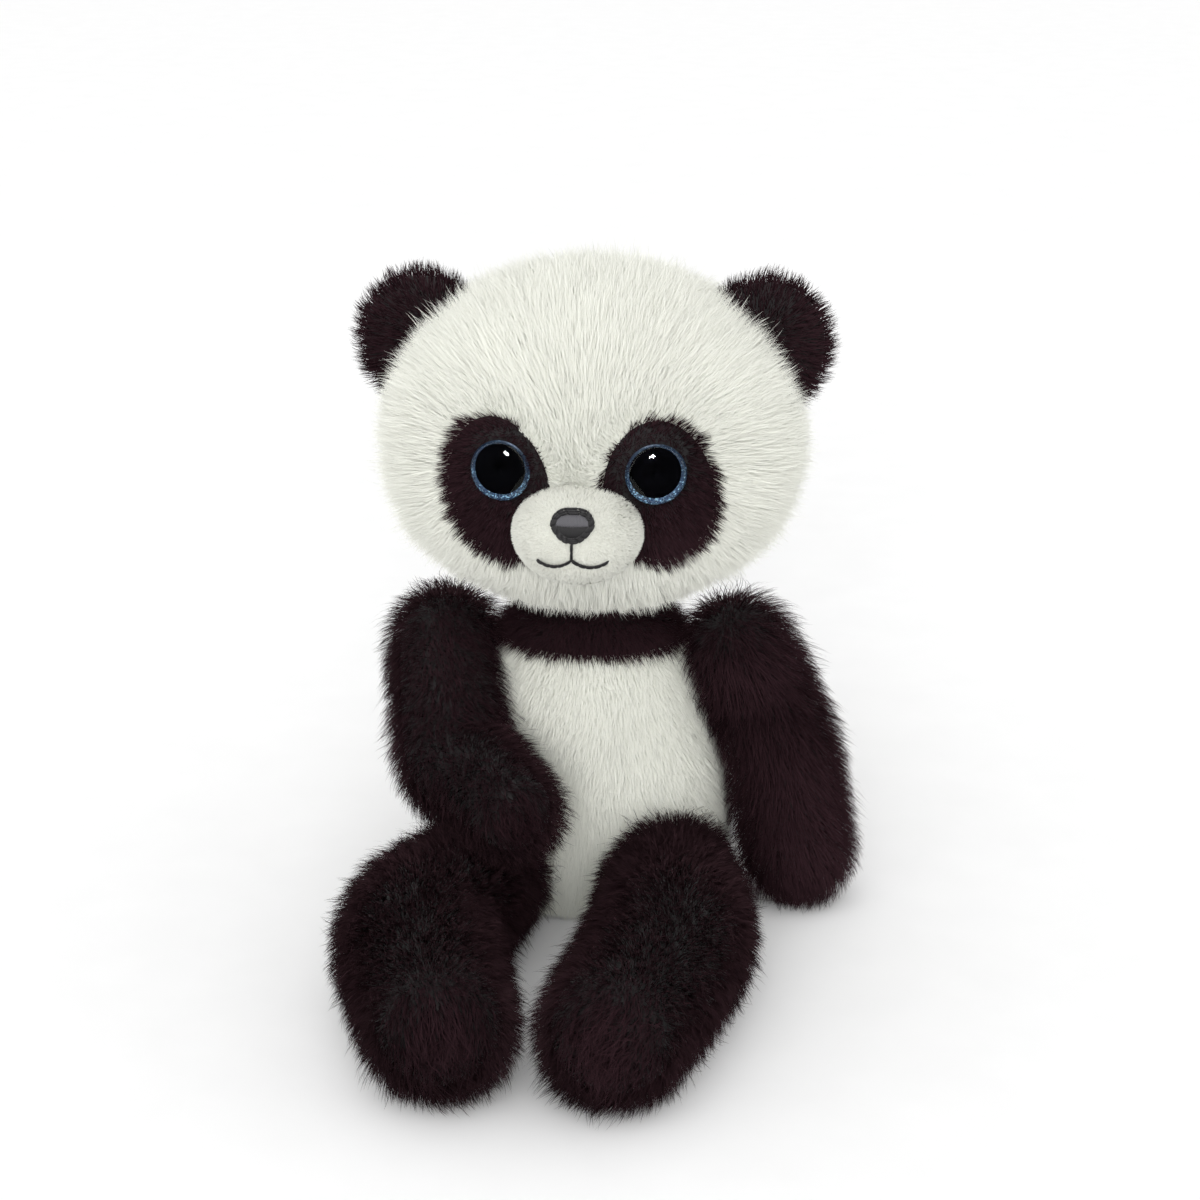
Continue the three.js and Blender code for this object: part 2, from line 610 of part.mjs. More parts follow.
addNode('back_panel_right', trunk.intersect(belowBand).intersect(torsoRear)
  .intersect(lessThan(axisX, -half)), 'white_pile');
addNode('chest_band_front', trunk.intersect(aboveBand).intersect(torsoFront), 'dark_pile');
addNode('chest_band_back', trunk.intersect(aboveBand).intersect(torsoRear), 'dark_pile');

// A cloth bag of pellets sits low in the seat and keeps the toy upright.
const bagTop = 0.3 * TORSO_HEIGHT;
const bagCentre = new THREE.Vector3(0, 0.22 * TORSO_DEPTH, stuffingInset + 0.5 * bagTop + 1);
const bag = (grow) => solid(roundBody(
  bagCentre, 0.28 * TORSO_WIDTH + grow, 0.19 * TORSO_DEPTH + grow, 0.42 * bagTop + grow,
  16, 8));
addNode('pellet_bag', bag(0), 'pellets');
const aboveBag = moreThan(axisZ, bagCentre.z);
const bagWell = solid(limbGeometry(
  bagCentre, bagCentre.clone().add(new THREE.Vector3(0, 0, -bagTop)),
  0.1 * TORSO_WIDTH, 0.1 * TORSO_WIDTH, 0, 10, 2)).subtract(aboveBag);
addNode('torso_stuffing', torsoFill.subtract(bag(LAYER_GAP)).subtract(bagWell), 'fibre');
addNode('neck_stuffing', ball(neckPivot, NECK_RADIUS).intersect(
  moreThan(axisZ, TORSO_HEIGHT + LAYER_GAP)), 'fibre');

// ---- origin at the middle of the footprint, on the floor ----------------
const bounds = new THREE.Box3().setFromObject(group);
const shift = new THREE.Vector3(
  -(bounds.min.x + bounds.max.x) / 2, -(bounds.min.y + bounds.max.y) / 2, -bounds.min.z);
group.children.forEach((mesh) => mesh.geometry.translate(shift.x, shift.y, shift.z));

const kneeAxis = (leg) => {
  const along = leg.foot.clone().sub(leg.knee).setZ(0).normalize();
  return new THREE.Vector3(along.y, -along.x, 0);
};
const at = (p) => p.clone().add(shift).toArray();
group.userData.pivots = {
  neck: at(neckPivot),
  ears: Object.fromEntries(Object.entries(earPivots).map(
    ([name, ear]) => [name, { point: at(ear.point), axis: ear.axis.toArray() }])),
  arms: Object.fromEntries(Object.entries(arms).map(
    ([name, arm]) => [name, { shoulder: at(arm.shoulder), elbow: at(arm.elbow),
      hand: at(arm.hand) }])),
  legs: Object.fromEntries(Object.entries(legs).map(
    ([name, leg]) => [name, { hip: at(leg.hip), knee: at(leg.knee), foot: at(leg.foot),
      kneeAxis: kneeAxis(leg).toArray() }])),
  shift: shift.toArray(),
  headCentre: at(headCentre),
};

export default group;
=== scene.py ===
"""Plush panda with long floppy limbs: pile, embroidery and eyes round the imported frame."""
import json
import math

import bpy
import numpy as np
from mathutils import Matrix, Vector, kdtree


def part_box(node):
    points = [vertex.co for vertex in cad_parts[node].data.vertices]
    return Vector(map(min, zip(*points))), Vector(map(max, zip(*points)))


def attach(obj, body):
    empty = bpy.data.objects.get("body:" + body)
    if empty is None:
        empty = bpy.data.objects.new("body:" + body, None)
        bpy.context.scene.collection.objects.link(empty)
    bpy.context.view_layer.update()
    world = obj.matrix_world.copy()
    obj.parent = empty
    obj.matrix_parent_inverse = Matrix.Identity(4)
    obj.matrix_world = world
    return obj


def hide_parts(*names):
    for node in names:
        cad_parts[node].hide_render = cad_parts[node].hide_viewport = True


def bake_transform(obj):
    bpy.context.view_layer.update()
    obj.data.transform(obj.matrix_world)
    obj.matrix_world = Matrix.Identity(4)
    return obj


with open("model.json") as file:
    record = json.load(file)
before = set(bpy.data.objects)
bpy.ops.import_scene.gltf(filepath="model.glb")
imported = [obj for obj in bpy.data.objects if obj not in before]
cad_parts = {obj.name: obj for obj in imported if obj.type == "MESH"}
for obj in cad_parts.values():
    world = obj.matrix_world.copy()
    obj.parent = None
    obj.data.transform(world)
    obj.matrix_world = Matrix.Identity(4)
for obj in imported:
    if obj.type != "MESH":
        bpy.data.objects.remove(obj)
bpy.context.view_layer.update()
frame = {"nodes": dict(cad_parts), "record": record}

bl_info = {
    "name": "Plush Panda",
    "version": (1, 0, 0),
    "blender": (4, 5, 0),
    "location": "3D View > Sidebar > Plush Panda",
    "description": "Grows the pile, the face and the limbs of a sitting plush panda",
    "category": "Object",
}

MM = 0.001
UP = np.array([0.0, 0.0, 1.0])
JOINTS = {j["name"]: j for j in frame["record"]["behaviour"]["joints"]}
NECK = np.array(JOINTS["neck_turn"]["pos_m"]) / MM
SEED = 20
FLOOR_CLEAR = 0.3                 # a strand's middle line stays this far over the floor
FLOOR_LEAST = 0.1
STRAND_TAPER = (0.85, 1.0, 0.8, 0.6)
VIEW_DISTANCE = 750.0
VIEW_WIDTH = 372.67               # what the camera takes in across its target
VIEW_RISE = math.radians(20)
VIEW_TURN = math.radians(5)
VIEW_TARGET = np.array([NECK[0] + 3.0, NECK[1] - 9.5, 97.0])
TORSO_HEIGHT = 95.0
TORSO_HALF = (43.0, 30.5)
TORSO_LEAN = 0.1
TORSO_STATIONS = (
    (0.00, 0.39, 0.39), (0.05, 0.46, 0.46), (0.27, 0.50, 0.50), (0.60, 0.44, 0.47),
    (0.84, 0.36, 0.40), (0.95, 0.28, 0.30), (1.00, 0.17, 0.20))
BAND_HEIGHT = 0.88 * TORSO_HEIGHT
BELLY_BACK = NECK[1] - 8.0        # where the belly's pile ends and the back's begins
SEAT_CLEAR = 2.0                  # the seat panel under this height has no pile
HEAD_CENTRE = NECK + np.array([0.0, -1.5, 53.96])
HEAD_HALF = np.array([59.5, 50.5, 49.5])
HEAD_FULLNESS = 1.25
NECK_OPENING = 19.0               # no pile this near the neck's middle
FACE_BACK = HEAD_CENTRE[1] - 8.0
BEARD_TOP = HEAD_CENTRE[2] - 31.0
CROWN_LOW = HEAD_CENTRE[2] + 8.0
MUZZLE_CENTRE = HEAD_CENTRE + np.array([0.0, -47.98, -15.35])
MUZZLE_HALF = np.array([19.04, 18.18, 14.85])
EYE_X = 22.49
EYE_Z = HEAD_CENTRE[2] + 2.08
EYE_RADIUS = 9.0
EYE_RIM = 0.4                     # height of the lens's edge
EYE_CROWN = 4.86                  # height of its dome over the edge
PUPIL_SHIFT = (-0.45, 0.85)       # inwards and up from the eye's middle
PATCH_X = 23.2
PATCH_Z = HEAD_CENTRE[2] - 4.95
PATCH_HALF = (17.1, 23.3)
PATCH_TILT = 0.14                 # both patches lean the same way
PATCH_DEPTH = 1.2                 # the patch's cloth lies this far inside the head's outline
PATCH_INSET = 1.5                 # and its edge this far inside its pile's edge
EAR_HALF = (18.2, 5.0, 19.7)
EAR_LIFT = math.radians(33)       # the way an ear leaves the head, over the level
EAR_TURN = math.radians(12)
EAR_OUT = 2.28                    # from the seam to the ear's middle
ARM_RADII = (17.0, 17.2, 17.0)                # shoulder, upper arm, elbow
HAND_RADIUS = {"left": 17.0, "right": 14.0}
LEG_RADII = (15.5, 19.5, 21.8, 21.2, 19.5)    # hip, thigh, knee, shin, foot
COVER_INSET = 2.0                 # a limb's skin lies this far inside its solids


def joint_at(name):
    return np.array(JOINTS[name]["pos_m"]) / MM


# ---- sizes and colours a maker may change ------------------------------------------
def distance(name, description, millimetres):
    return bpy.props.FloatProperty(
        name=name, description=description, default=millimetres * MM, min=0.0, unit="LENGTH")


class PandaSizes(bpy.types.PropertyGroup):
    """Pile lengths and strand sizes."""

    head_pile: distance("Head pile", "Length of the white pile on the head", 12.5)
    body_pile: distance("Body pile", "Length of the pile on the trunk", 8.0)
    limb_pile: distance("Limb pile", "Length of the dark pile on arms and legs", 10.0)
    ear_pile: distance("Ear pile", "Length of the dark pile on the ears", 6.5)
    patch_pile: distance("Patch pile", "Length of the dark pile round the eyes", 6.0)
    muzzle_pile: distance("Muzzle pile", "Length of the velvety pile on the muzzle", 1.3)
    guard_width: distance("Guard strand", "Width of a long strand", 0.16)
    under_width: distance("Under strand", "Width of a short strand of the underpile", 0.26)
    fullness: bpy.props.FloatProperty(
        name="Fullness", description="Strands for each square millimetre, against usual",
        default=1.0, min=0.05, max=3.0)


def colour(name, description, default):
    return bpy.props.FloatVectorProperty(
        name=name, description=description, subtype="COLOR", size=3,
        min=0.0, max=1.0, default=default)


class PandaColours(bpy.types.PropertyGroup):
    """Colours of pile, thread and eyes."""

    # The root colours are darker than the tips partly as painted shade deep in the pile; the dark
    # tip's lighter brown is partly painted sheen.
    white_root: colour("White root", "White pile near the backing", (0.66, 0.67, 0.60))
    white_tip: colour("White tip", "White pile at its tips", (0.84, 0.845, 0.775))
    dark_root: colour("Dark root", "Dark pile near the backing", (0.0035, 0.0015, 0.002))
    dark_tip: colour("Dark tip", "Dark pile at its tips", (0.019, 0.0094, 0.0115))
    muzzle_root: colour("Muzzle root", "Short pile near the backing", (0.58, 0.58, 0.52))
    muzzle_tip: colour("Muzzle tip", "Short pile at its tips", (0.72, 0.725, 0.66))
    thread_black: colour("Black thread", "Nose and mouth thread", (0.004, 0.003, 0.004))
    thread_grey: colour("Grey thread", "Upper nose thread", (0.075, 0.073, 0.082))
    iris: colour("Iris", "Ground colour of the glitter disc", (0.012, 0.05, 0.13))
    sparkle: colour("Sparkle", "Flakes in the glitter disc", (0.35, 0.62, 0.85))


def sizes():
    return bpy.context.scene.panda_sizes


def colours():
    return bpy.context.scene.panda_colours


# ---- shader helpers -----------------------------------------------------------------
class Socket:
    """A node socket that takes part in sums as a value."""

    def __init__(self, nodes, socket):
        self.nodes = nodes
        self.socket = socket

    def _math(self, operation, *values):
        return self.nodes.add("ShaderNodeMath", {"operation": operation}, dict(enumerate(values)))

    def __add__(self, other):
        return self._math("ADD", self, other)

    __radd__ = __add__

    def __mul__(self, other):
        return self._math("MULTIPLY", self, other)

    __rmul__ = __mul__

    def __sub__(self, other):
        return self._math("SUBTRACT", self, other)

    def __rsub__(self, other):
        return self._math("SUBTRACT", other, self)


class Nodes:
    """Builds one material's node tree."""

    def __init__(self, name):
        self.material = bpy.data.materials.new(name)
        self.material.use_nodes = True
        self.tree = self.material.node_tree
        self.shader = self.tree.nodes["Principled BSDF"]

    def add(self, kind, settings=None, sockets=None, output=0):
        """Adds a node; sockets maps an input's name or place to a value or a link."""
        node = self.tree.nodes.new(kind)
        for key, value in (settings or {}).items():
            if key == "stops":
                self._stops(node.color_ramp, value)
            else:
                setattr(node, key, value)
        for key, value in (sockets or {}).items():
            self.put(node.inputs[key], value)
        return Socket(self, node.outputs[output])

    @staticmethod
    def _stops(ramp, stops):
        while len(ramp.elements) < len(stops):
            ramp.elements.new(0.5)
        for element, (place, tint) in zip(ramp.elements, stops):
            element.position = place
            element.color = (*tint[:3], 1.0)

    def put(self, socket, value):
        if isinstance(value, Socket):
            self.tree.links.new(value.socket, socket)
        elif hasattr(socket.default_value, "__len__") and hasattr(value, "__len__"):
            size = len(socket.default_value)
            socket.default_value = (*value, 1.0)[:size] if len(value) < size else value
        else:
            socket.default_value = value

    def coords(self):
        return self.add("ShaderNodeTexCoord", output=3)

    def split(self, vector):
        """The three parts of a vector."""
        first = self.add("ShaderNodeSeparateXYZ", None, {"Vector": vector})
        return [Socket(self, out) for out in first.socket.node.outputs]

    def noise(self, coords, scale, detail=2.0):
        return self.add("ShaderNodeTexNoise", None,
                        {"Vector": coords, "Scale": scale, "Detail": detail})

    def ramp(self, factor, *stops):
        return self.add("ShaderNodeValToRGB", {"stops": stops}, {"Fac": factor})

    def mix(self, factor, a, b):
        """A colour between two colours."""
        return self.add("ShaderNodeMix", {"data_type": "RGBA"}, {0: factor, 6: a, 7: b}, output=2)

    def multiply(self, a, b):
        return self.add("ShaderNodeVectorMath", {"operation": "MULTIPLY"}, {0: a, 1: b})

    def bump(self, height, strength, distance):
        self.surface(Normal=self.add("ShaderNodeBump", None, {
            "Height": height, "Strength": strength, "Distance": distance}))

    def surface(self, **sockets):
        """Sets inputs of the surface; an underscore in a name stands for a space."""
        for key, value in sockets.items():
            self.put(self.shader.inputs[key.replace("_", " ")], value)


def settle(piece, body=None, stands_for=()):
    """Gives a piece its body and hides the solids it stands for."""
    if body:
        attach(piece, body)
    if stands_for:
        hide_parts(*stands_for)


def cached(make):
    """A finish is built once and shared by the pieces that use it."""
    store = {}

    def finish(*key):
        if key not in store:
            store[key] = make(*key)
        return store[key]

    return finish


def scaled(tint, factor):
    return tuple(min(1.0, c * factor) for c in tint[:3])


@cached
def pile_finish(kind):
    """Pile whose colour runs from root to tip, the darker root partly painted shade, and differs
    from strand to strand.
    """
    tints = colours()
    dark = kind == "dark_pile"
    root, tip = {
        "white_pile": (tints.white_root, tints.white_tip),
        "dark_pile": (tints.dark_root, tints.dark_tip),
        "short_pile": (tints.muzzle_root, tints.muzzle_tip),
    }[kind]
    n = Nodes(kind + "_strands")
    tone, along = n.split(n.add("ShaderNodeUVMap", {"uv_map": "OFBake"}))[:2]
    # Painted shade: the colour darkens from tip to root, standing for shade deep in the pile; the
    # dark pile's lighter brown tips are partly painted sheen.
    middle = tuple(0.35 * a + 0.65 * b for a, b in zip(root, tip))
    base = n.ramp(along, (0.0, root), (0.45, middle), (1.0, tip))
    # Each strand's tone is scaled at random, a little in the light piles; in the dark pile from 0.5
    # to 2.3 times, its bright strands partly painted highlight.
    low, high = (0.5, 2.3) if dark else (0.95, 1.04)
    shade = n.ramp(tone, (0.0, (low, low, low)), (1.0, (high, high, high)))
    n.surface(Base_Color=n.multiply(base, shade), Roughness=0.78 - 0.2 * tone,
              Specular_IOR_Level=0.0 if dark else 0.1, Sheen_Weight=0.5 if dark else 0.15,
              Sheen_Roughness=0.35 if dark else 0.5,
              Sheen_Tint=(0.125, 0.066, 0.077, 1) if dark else (1, 1, 1, 1))
    return n.material


@cached
def backing_finish(kind):
    """Knitted backing and the dense underpile right on it."""
    tints = colours()
    # The ground takes the pile's root colours, or for the short pile a little under its tip colour;
    # that darkness is partly painted shade under the pile.
    base = {"white_pile": scaled(tints.white_root, 1.15), "dark_pile": scaled(tints.dark_root, 1.2),
            "short_pile": scaled(tints.muzzle_tip, 0.92)}[kind]
    n = Nodes(kind + "_backing")
    grain = n.noise(n.coords(), 900.0, 3.0)
    blend = grain * 0.6 + n.noise(n.coords(), 60.0) * 0.4
    n.surface(Base_Color=n.mix(blend, scaled(base, 0.82), scaled(base, 1.12)),
              Roughness=0.8 + 0.15 * grain, Sheen_Weight=0.2)
    n.bump(grain, 0.5, 0.4 * MM)
    return n.material


@cached
def thread_finish(kind):
    """Rayon embroidery thread: a soft gleam with a fine twist."""
    tint = colours().thread_grey if kind == "grey_thread" else colours().thread_black
    n = Nodes(kind)
    twist = n.add("ShaderNodeTexWave", {"bands_direction": "DIAGONAL"},
                  {"Vector": n.coords(), "Scale": 900.0, "Distortion": 1.0})
    n.surface(Base_Color=n.mix(twist, scaled(tint, 0.7), scaled(tint, 1.35)),
              Roughness=0.62 + 0.2 * twist, Sheen_Weight=0.15)
    n.bump(twist, 0.4, 0.1 * MM)
    return n.material


@cached
def moulded_finish(kind):
    """Matt paint, moulded plastic or cloth with a fine grain."""
    tint, rough, scale = {
        "black_paint": ((0.0015, 0.0015, 0.002), 0.7, 300.0),
        "white_plastic": ((0.74, 0.74, 0.71), 0.45, 400.0),
        "pellets": ((0.70, 0.68, 0.62), 0.85, 500.0),
    }[kind]
    n = Nodes(kind)
    grain = n.noise(n.coords(), scale, 3.0)
    n.surface(Base_Color=n.mix(grain, scaled(tint, 0.85), scaled(tint, 1.1)),
              Roughness=rough + 0.05 * grain)
    if kind == "black_paint":
        n.surface(Specular_IOR_Level=0.0)
    else:
        n.bump(grain, 0.3, 0.2 * MM)
    return n.material


@cached
def glitter_finish():
    """Blue foil with fine bright flakes, brightest in the lower half: the upper half is painted
    shade, and all of it has a faint painted glow.
    """
    tints = colours()
    n = Nodes("glitter_foil")
    cell = n.add("ShaderNodeTexVoronoi", None, {"Vector": n.coords(), "Scale": 2600.0}, output=1)
    pick = n.add("ShaderNodeSeparateColor", None, {"Color": cell})
    flakes = n.ramp(pick, (0.0, scaled(tints.iris, 0.3)), (0.6, tints.iris),
                    (0.82, scaled(tints.sparkle, 0.3)), (0.97, scaled(tints.sparkle, 1.2)))
    # Painted shade: the foil turns dark towards the top of the eye and shows its flakes fully only
    # at the bottom.
    level = n.add("ShaderNodeMapRange", None, {
        "Value": n.split(n.coords())[2], "From Min": (EYE_Z + 3) * MM,
        "From Max": (EYE_Z - 7) * MM, "To Min": 0.12, "To Max": 1.0})
    flakes = n.mix(level, scaled(tints.iris, 0.25), flakes)
    # Painted glow: the foil and its flakes give off a faint light of their own, though no lamp is
    # there.
    n.surface(Base_Color=flakes, Emission_Color=flakes, Roughness=0.3 + 0.3 * pick,
              Metallic=0.35, Emission_Strength=0.1)
    return n.material


@cached
def lens_finish():
    """Clear polished acrylic."""
    n = Nodes("clear_plastic")
    n.surface(Base_Color=(0.98, 0.99, 1.0), Roughness=0.01 + 0.015 * n.noise(n.coords(), 120.0),
              Transmission_Weight=1.0, IOR=1.45)
    return n.material


# ---- mesh helpers -------------------------------------------------------------------
class Skin:
    """A triangulated surface in millimetres, with smooth normals."""

    def __init__(self, verts, quads):
        self.verts = np.asarray(verts, float)
        self.polys = quads
        tris = []
        for face in quads:
            for i in range(1, len(face) - 1):
                tris.append((face[0], face[i], face[i + 1]))
        self.tris = np.array(tris, int)
        a, b, c = (self.verts[self.tris[:, i]] for i in range(3))
        cross = np.cross(b - a, c - a)
        self.areas = np.linalg.norm(cross, axis=1) / 2
        normals = np.zeros_like(self.verts)
        for i in range(3):
            np.add.at(normals, self.tris[:, i], cross)
        self.normals = unit(normals)

    def build(self, name, finish):
        mesh = bpy.data.meshes.new(name)
        mesh.from_pydata((self.verts * MM).tolist(), [], [list(f) for f in self.polys])
        mesh.shade_smooth()
        return as_piece(name, mesh, finish)


def as_piece(name, mesh, finish):
    mesh.materials.append(finish)
    piece = bpy.data.objects.new(name, mesh)
    bpy.context.scene.collection.objects.link(piece)
    return piece


def unit(v):
    return v / np.maximum(np.linalg.norm(v, axis=-1, keepdims=True), 1e-12)


def ring_skin(rings, low, high):
    """A closed skin over equal rings, with a point closing each end."""
    rings = np.asarray(rings, float)
    count, n = rings.shape[:2]
    verts = np.vstack([rings.reshape(-1, 3), [low], [high]])
    at_low, at_high = count * n, count * n + 1
    faces = []
    for j in range(n):
        k = (j + 1) % n
        faces.append((at_low, k, j))
        faces.append((at_high, (count - 1) * n + j, (count - 1) * n + k))
        for i in range(count - 1):
            faces.append((i * n + j, i * n + k, (i + 1) * n + k, (i + 1) * n + j))
    return Skin(verts, faces)


def ellipse(centre, rx, ry, n):
    """A level ring of points."""
    a = np.linspace(0, 2 * math.pi, n, endpoint=False)
    return np.stack([centre[0] + rx * np.cos(a), centre[1] + ry * np.sin(a),
                     np.full(n, centre[2])], axis=1)


def round_skin(centre, half, fullness=1.0, n=72, levels=40):
    """An egg-round skin; a fullness over 1 fills out its lower half."""
    rings = []
    for i in range(1, levels):
        t = -math.pi / 2 + math.pi * i / levels
        spread = math.cos(t) ** (1 / fullness if t < 0 else 1.0)
        level = centre + np.array([0, 0, half[2] * math.sin(t)])
        rings.append(ellipse(level, half[0] * spread, half[1] * spread, n))
    rise = np.array([0, 0, half[2]])
    return ring_skin(rings, centre - rise, centre + rise)


def smooth_line(points, steps):
    """A smooth curve through the points, in equal steps between each two."""
    points = np.asarray(points, float)
    ends = np.vstack([2 * points[0] - points[1], points, 2 * points[-1] - points[-2]])
    out = []
    for p0, p1, p2, p3 in zip(ends, ends[1:], ends[2:], ends[3:]):
        for t in np.linspace(0, 1, steps, endpoint=False):
            out.append(0.5 * (2 * p1 + (p2 - p0) * t + (2 * p0 - 5 * p1 + 4 * p2 - p3) * t ** 2
                              + (3 * p1 - p0 - 3 * p2 + p3) * t ** 3))
    out.append(points[-1])
    return np.array(out)


def limb_skin(points, radii, n=40, steps=14, cap=8):
    """A round limb along a smooth line, closed by round ends."""
    line = smooth_line(np.column_stack([points, radii]), steps)
    centres, size = line[:, :3], line[:, 3]
    along = unit(np.gradient(centres, axis=0))
    side = unit(np.cross(along, UP + np.array([0.01, 0.0, 0.0])))
    for i in range(1, len(side)):
        carried = side[i - 1] - along[i] * (side[i - 1] @ along[i])
        side[i] = unit(carried)
    lift = np.cross(side, along)
    a = np.linspace(0, 2 * math.pi, n, endpoint=False)

    def ring(centre, s, u, r):
        return centre + r * (np.outer(np.cos(a), s) + np.outer(np.sin(a), u))

    def cap_rings(end, way):
        """Rings of the round cap at one end, from its tip inwards."""
        steps_in = [math.pi / 2 * i / cap for i in range(1, cap)]
        return [ring(centres[end] + way * along[end] * size[end] * math.cos(t), side[end],
                     lift[end], size[end] * math.sin(t)) for t in steps_in]

    rings = cap_rings(0, -1)
    rings += [ring(c, s, u, r) for c, s, u, r in zip(centres, side, lift, size)]
    rings += cap_rings(-1, 1)[::-1]
    low = centres[0] - along[0] * size[0]
    high = centres[-1] + along[-1] * size[-1]
    skin = ring_skin(np.array(rings)[:, ::-1], low, high)
    outward = skin.verts - centres[nearest_index(centres, skin.verts)]
    if np.einsum("ij,ij->", skin.normals, outward) < 0:
        skin = ring_skin(np.array(rings), low, high)
    return skin, centres, along


def nearest_index(centres, points):
    """For each point, which of the centres is nearest."""
    best = np.full(len(points), np.inf)
    index = np.zeros(len(points), int)
    for i, c in enumerate(centres):
        d = np.einsum("ij,ij->i", points - c, points - c)
        better = d < best
        best[better] = d[better]
        index[better] = i
    return index


# ---- pile ---------------------------------------------------------------------------
def waves(points, scale, seed):
    """Three smooth fields over space, each about -1 to 1, for swirls and tone."""
    rng = np.random.default_rng(seed)
    total = np.zeros((len(points), 3))
    for k in range(5):
        direction = rng.normal(size=(3, 3))
        phase = rng.uniform(0, 2 * math.pi, 3)
        total += np.sin(points @ direction.T / scale * (1 + 0.5 * k) + phase) / (1 + 0.4 * k)
    return total / 2.2


def scatter(skin, per_mm2, rng, mask=None):
    """Roots spread evenly over a skin, where the mask lets them grow."""
    count = int(skin.areas.sum() * per_mm2 * sizes().fullness)
    cumulative = np.cumsum(skin.areas)
    pick = np.searchsorted(cumulative, rng.random(count) * cumulative[-1])
    r1, r2 = np.sqrt(rng.random(count)), rng.random(count)
    weights = np.stack([1 - r1, r1 * (1 - r2), r1 * r2], axis=1)
    corners = skin.tris[pick]
    points = np.einsum("ij,ijk->ik", weights, skin.verts[corners])
    normals = unit(np.einsum("ij,ijk->ik", weights, skin.normals[corners]))
    if mask is not None:
        keep = mask(points)
        points, normals = points[keep], normals[keep]
    return points, normals


def gather(levels, share, rng, clump, clump_size):
    """Draws the strands towards a leader near them, most at their tips."""
    roots = levels[0]
    count = len(roots)
    leaders = max(1, int(count / (clump_size ** 2 * 1.6)))
    chosen = rng.choice(count, leaders, replace=False)
    tree = kdtree.KDTree(leaders)
    for i, c in enumerate(chosen):
        tree.insert(roots[c], i)
    tree.balance()
    lead = chosen[[tree.find(p)[1] for p in roots]]
    pull = clump * rng.uniform(0.4, 1.0, count)
    for k in range(1, len(levels)):
        offset = levels[k][lead] - levels[k]
        levels[k] = levels[k] + offset * (pull * share[k] ** 1.4)[:, None]


def grow(name, finish, roots, normals, comb, length, width, seed,
         lift=(25, 68), swirl=0.35, clump=0.45, clump_size=3.2, segments=3, droop=0.6):
    """Strands rooted on a skin: tapered ribbons that lean along the comb direction.

    Lengths are in millimetres; lift gives the lean from the normal at root and tip."""
    rng = np.random.default_rng(seed)
    count = len(roots)
    field = waves(roots, 9.0, seed + 1)
    comb = comb + swirl * field + 0.22 * rng.normal(size=(count, 3))
    comb = unit(comb - normals * np.einsum("ij,ij->i", comb, normals)[:, None])
    length = np.broadcast_to(length, (count,)) * rng.uniform(0.72, 1.08, count)
    at_root = np.radians(lift[0] + rng.normal(0, 9, count))
    at_tip = np.radians(lift[1] + rng.normal(0, 10, count))
    levels = [roots]
    for k in range(segments):
        angle = at_root + (at_tip - at_root) * ((k + 0.5) / segments)
        step = normals * np.cos(angle)[:, None] + comb * np.sin(angle)[:, None]
        levels.append(levels[-1] + step * (length / segments)[:, None])
    levels = np.array(levels)
    share = np.linspace(0, 1, segments + 1)
    if clump > 0:
        gather(levels, share, rng, clump, clump_size)
    levels[:, :, 2] -= droop * share[:, None] ** 2
    levels[:, :, 2] = np.maximum(levels[:, :, 2], FLOOR_CLEAR)
    along = unit(levels[-1] - levels[0])
    across = unit(np.cross(along, normals))
    facing = np.cross(across, along)
    roll = np.radians(rng.normal(0, 24, count))[:, None]
    across = across * np.cos(roll) + facing * np.sin(roll)
    tone = np.clip(0.5 + 0.26 * field[:, 0] + 0.2 * rng.normal(size=count), 0, 1)
    soft = unit(normals * 0.8 + facing * 0.35 + 0.12 * rng.normal(size=(count, 3)))
    return ribbons(name, finish, levels, across, width, tone, share, soft)


def ribbons(name, finish, levels, across, width, tone, share, soft):
    """One mesh of flat tapered strands; its map holds each strand's tone and its length."""
    segments, count = len(levels) - 1, levels.shape[1]
    verts, uvs = [], []
    for k, taper in zip(range(segments), STRAND_TAPER):
        half = across * (width * taper / 2)
        verts += [levels[k] - half, levels[k] + half]
        uvs += [np.stack([tone, np.full(count, share[k])], axis=1)] * 2
    verts.append(levels[-1])
    uvs.append(np.stack([tone, np.ones(count)], axis=1))
    per = 2 * segments + 1
    verts = np.stack(verts, axis=1).reshape(-1, 3)
    uvs = np.stack(uvs, axis=1).reshape(-1, 2)
    verts[:, 2] = np.maximum(verts[:, 2], FLOOR_LEAST)
    corners = []
    for k in range(0, per - 3, 2):
        corners += [k, k + 1, k + 3, k + 2]
    corners += [per - 3, per - 2, per - 1]
    loops = (np.arange(count)[:, None] * per + np.array(corners)[None]).reshape(-1)
    sides = np.tile([4] * (segments - 1) + [3], count)
    mesh = bpy.data.meshes.new(name)
    mesh.vertices.add(len(verts))
    mesh.vertices.foreach_set("co", (verts * MM).astype(np.float32).ravel())
    mesh.loops.add(len(loops))
    mesh.loops.foreach_set("vertex_index", loops.astype(np.int32))
    mesh.polygons.add(len(sides))
    starts = np.concatenate([[0], np.cumsum(sides)[:-1]])
    mesh.polygons.foreach_set("loop_start", starts.astype(np.int32))
    mesh.update(calc_edges=True)
    layer = mesh.uv_layers.new(name="OFBake")
    layer.data.foreach_set("uv", uvs[loops].astype(np.float32).ravel())
    mesh.shade_smooth()
    soft = np.repeat(soft, per, axis=0)
    mesh.normals_split_custom_set_from_vertices(soft.astype(np.float32))
    return as_piece(name, mesh, finish)


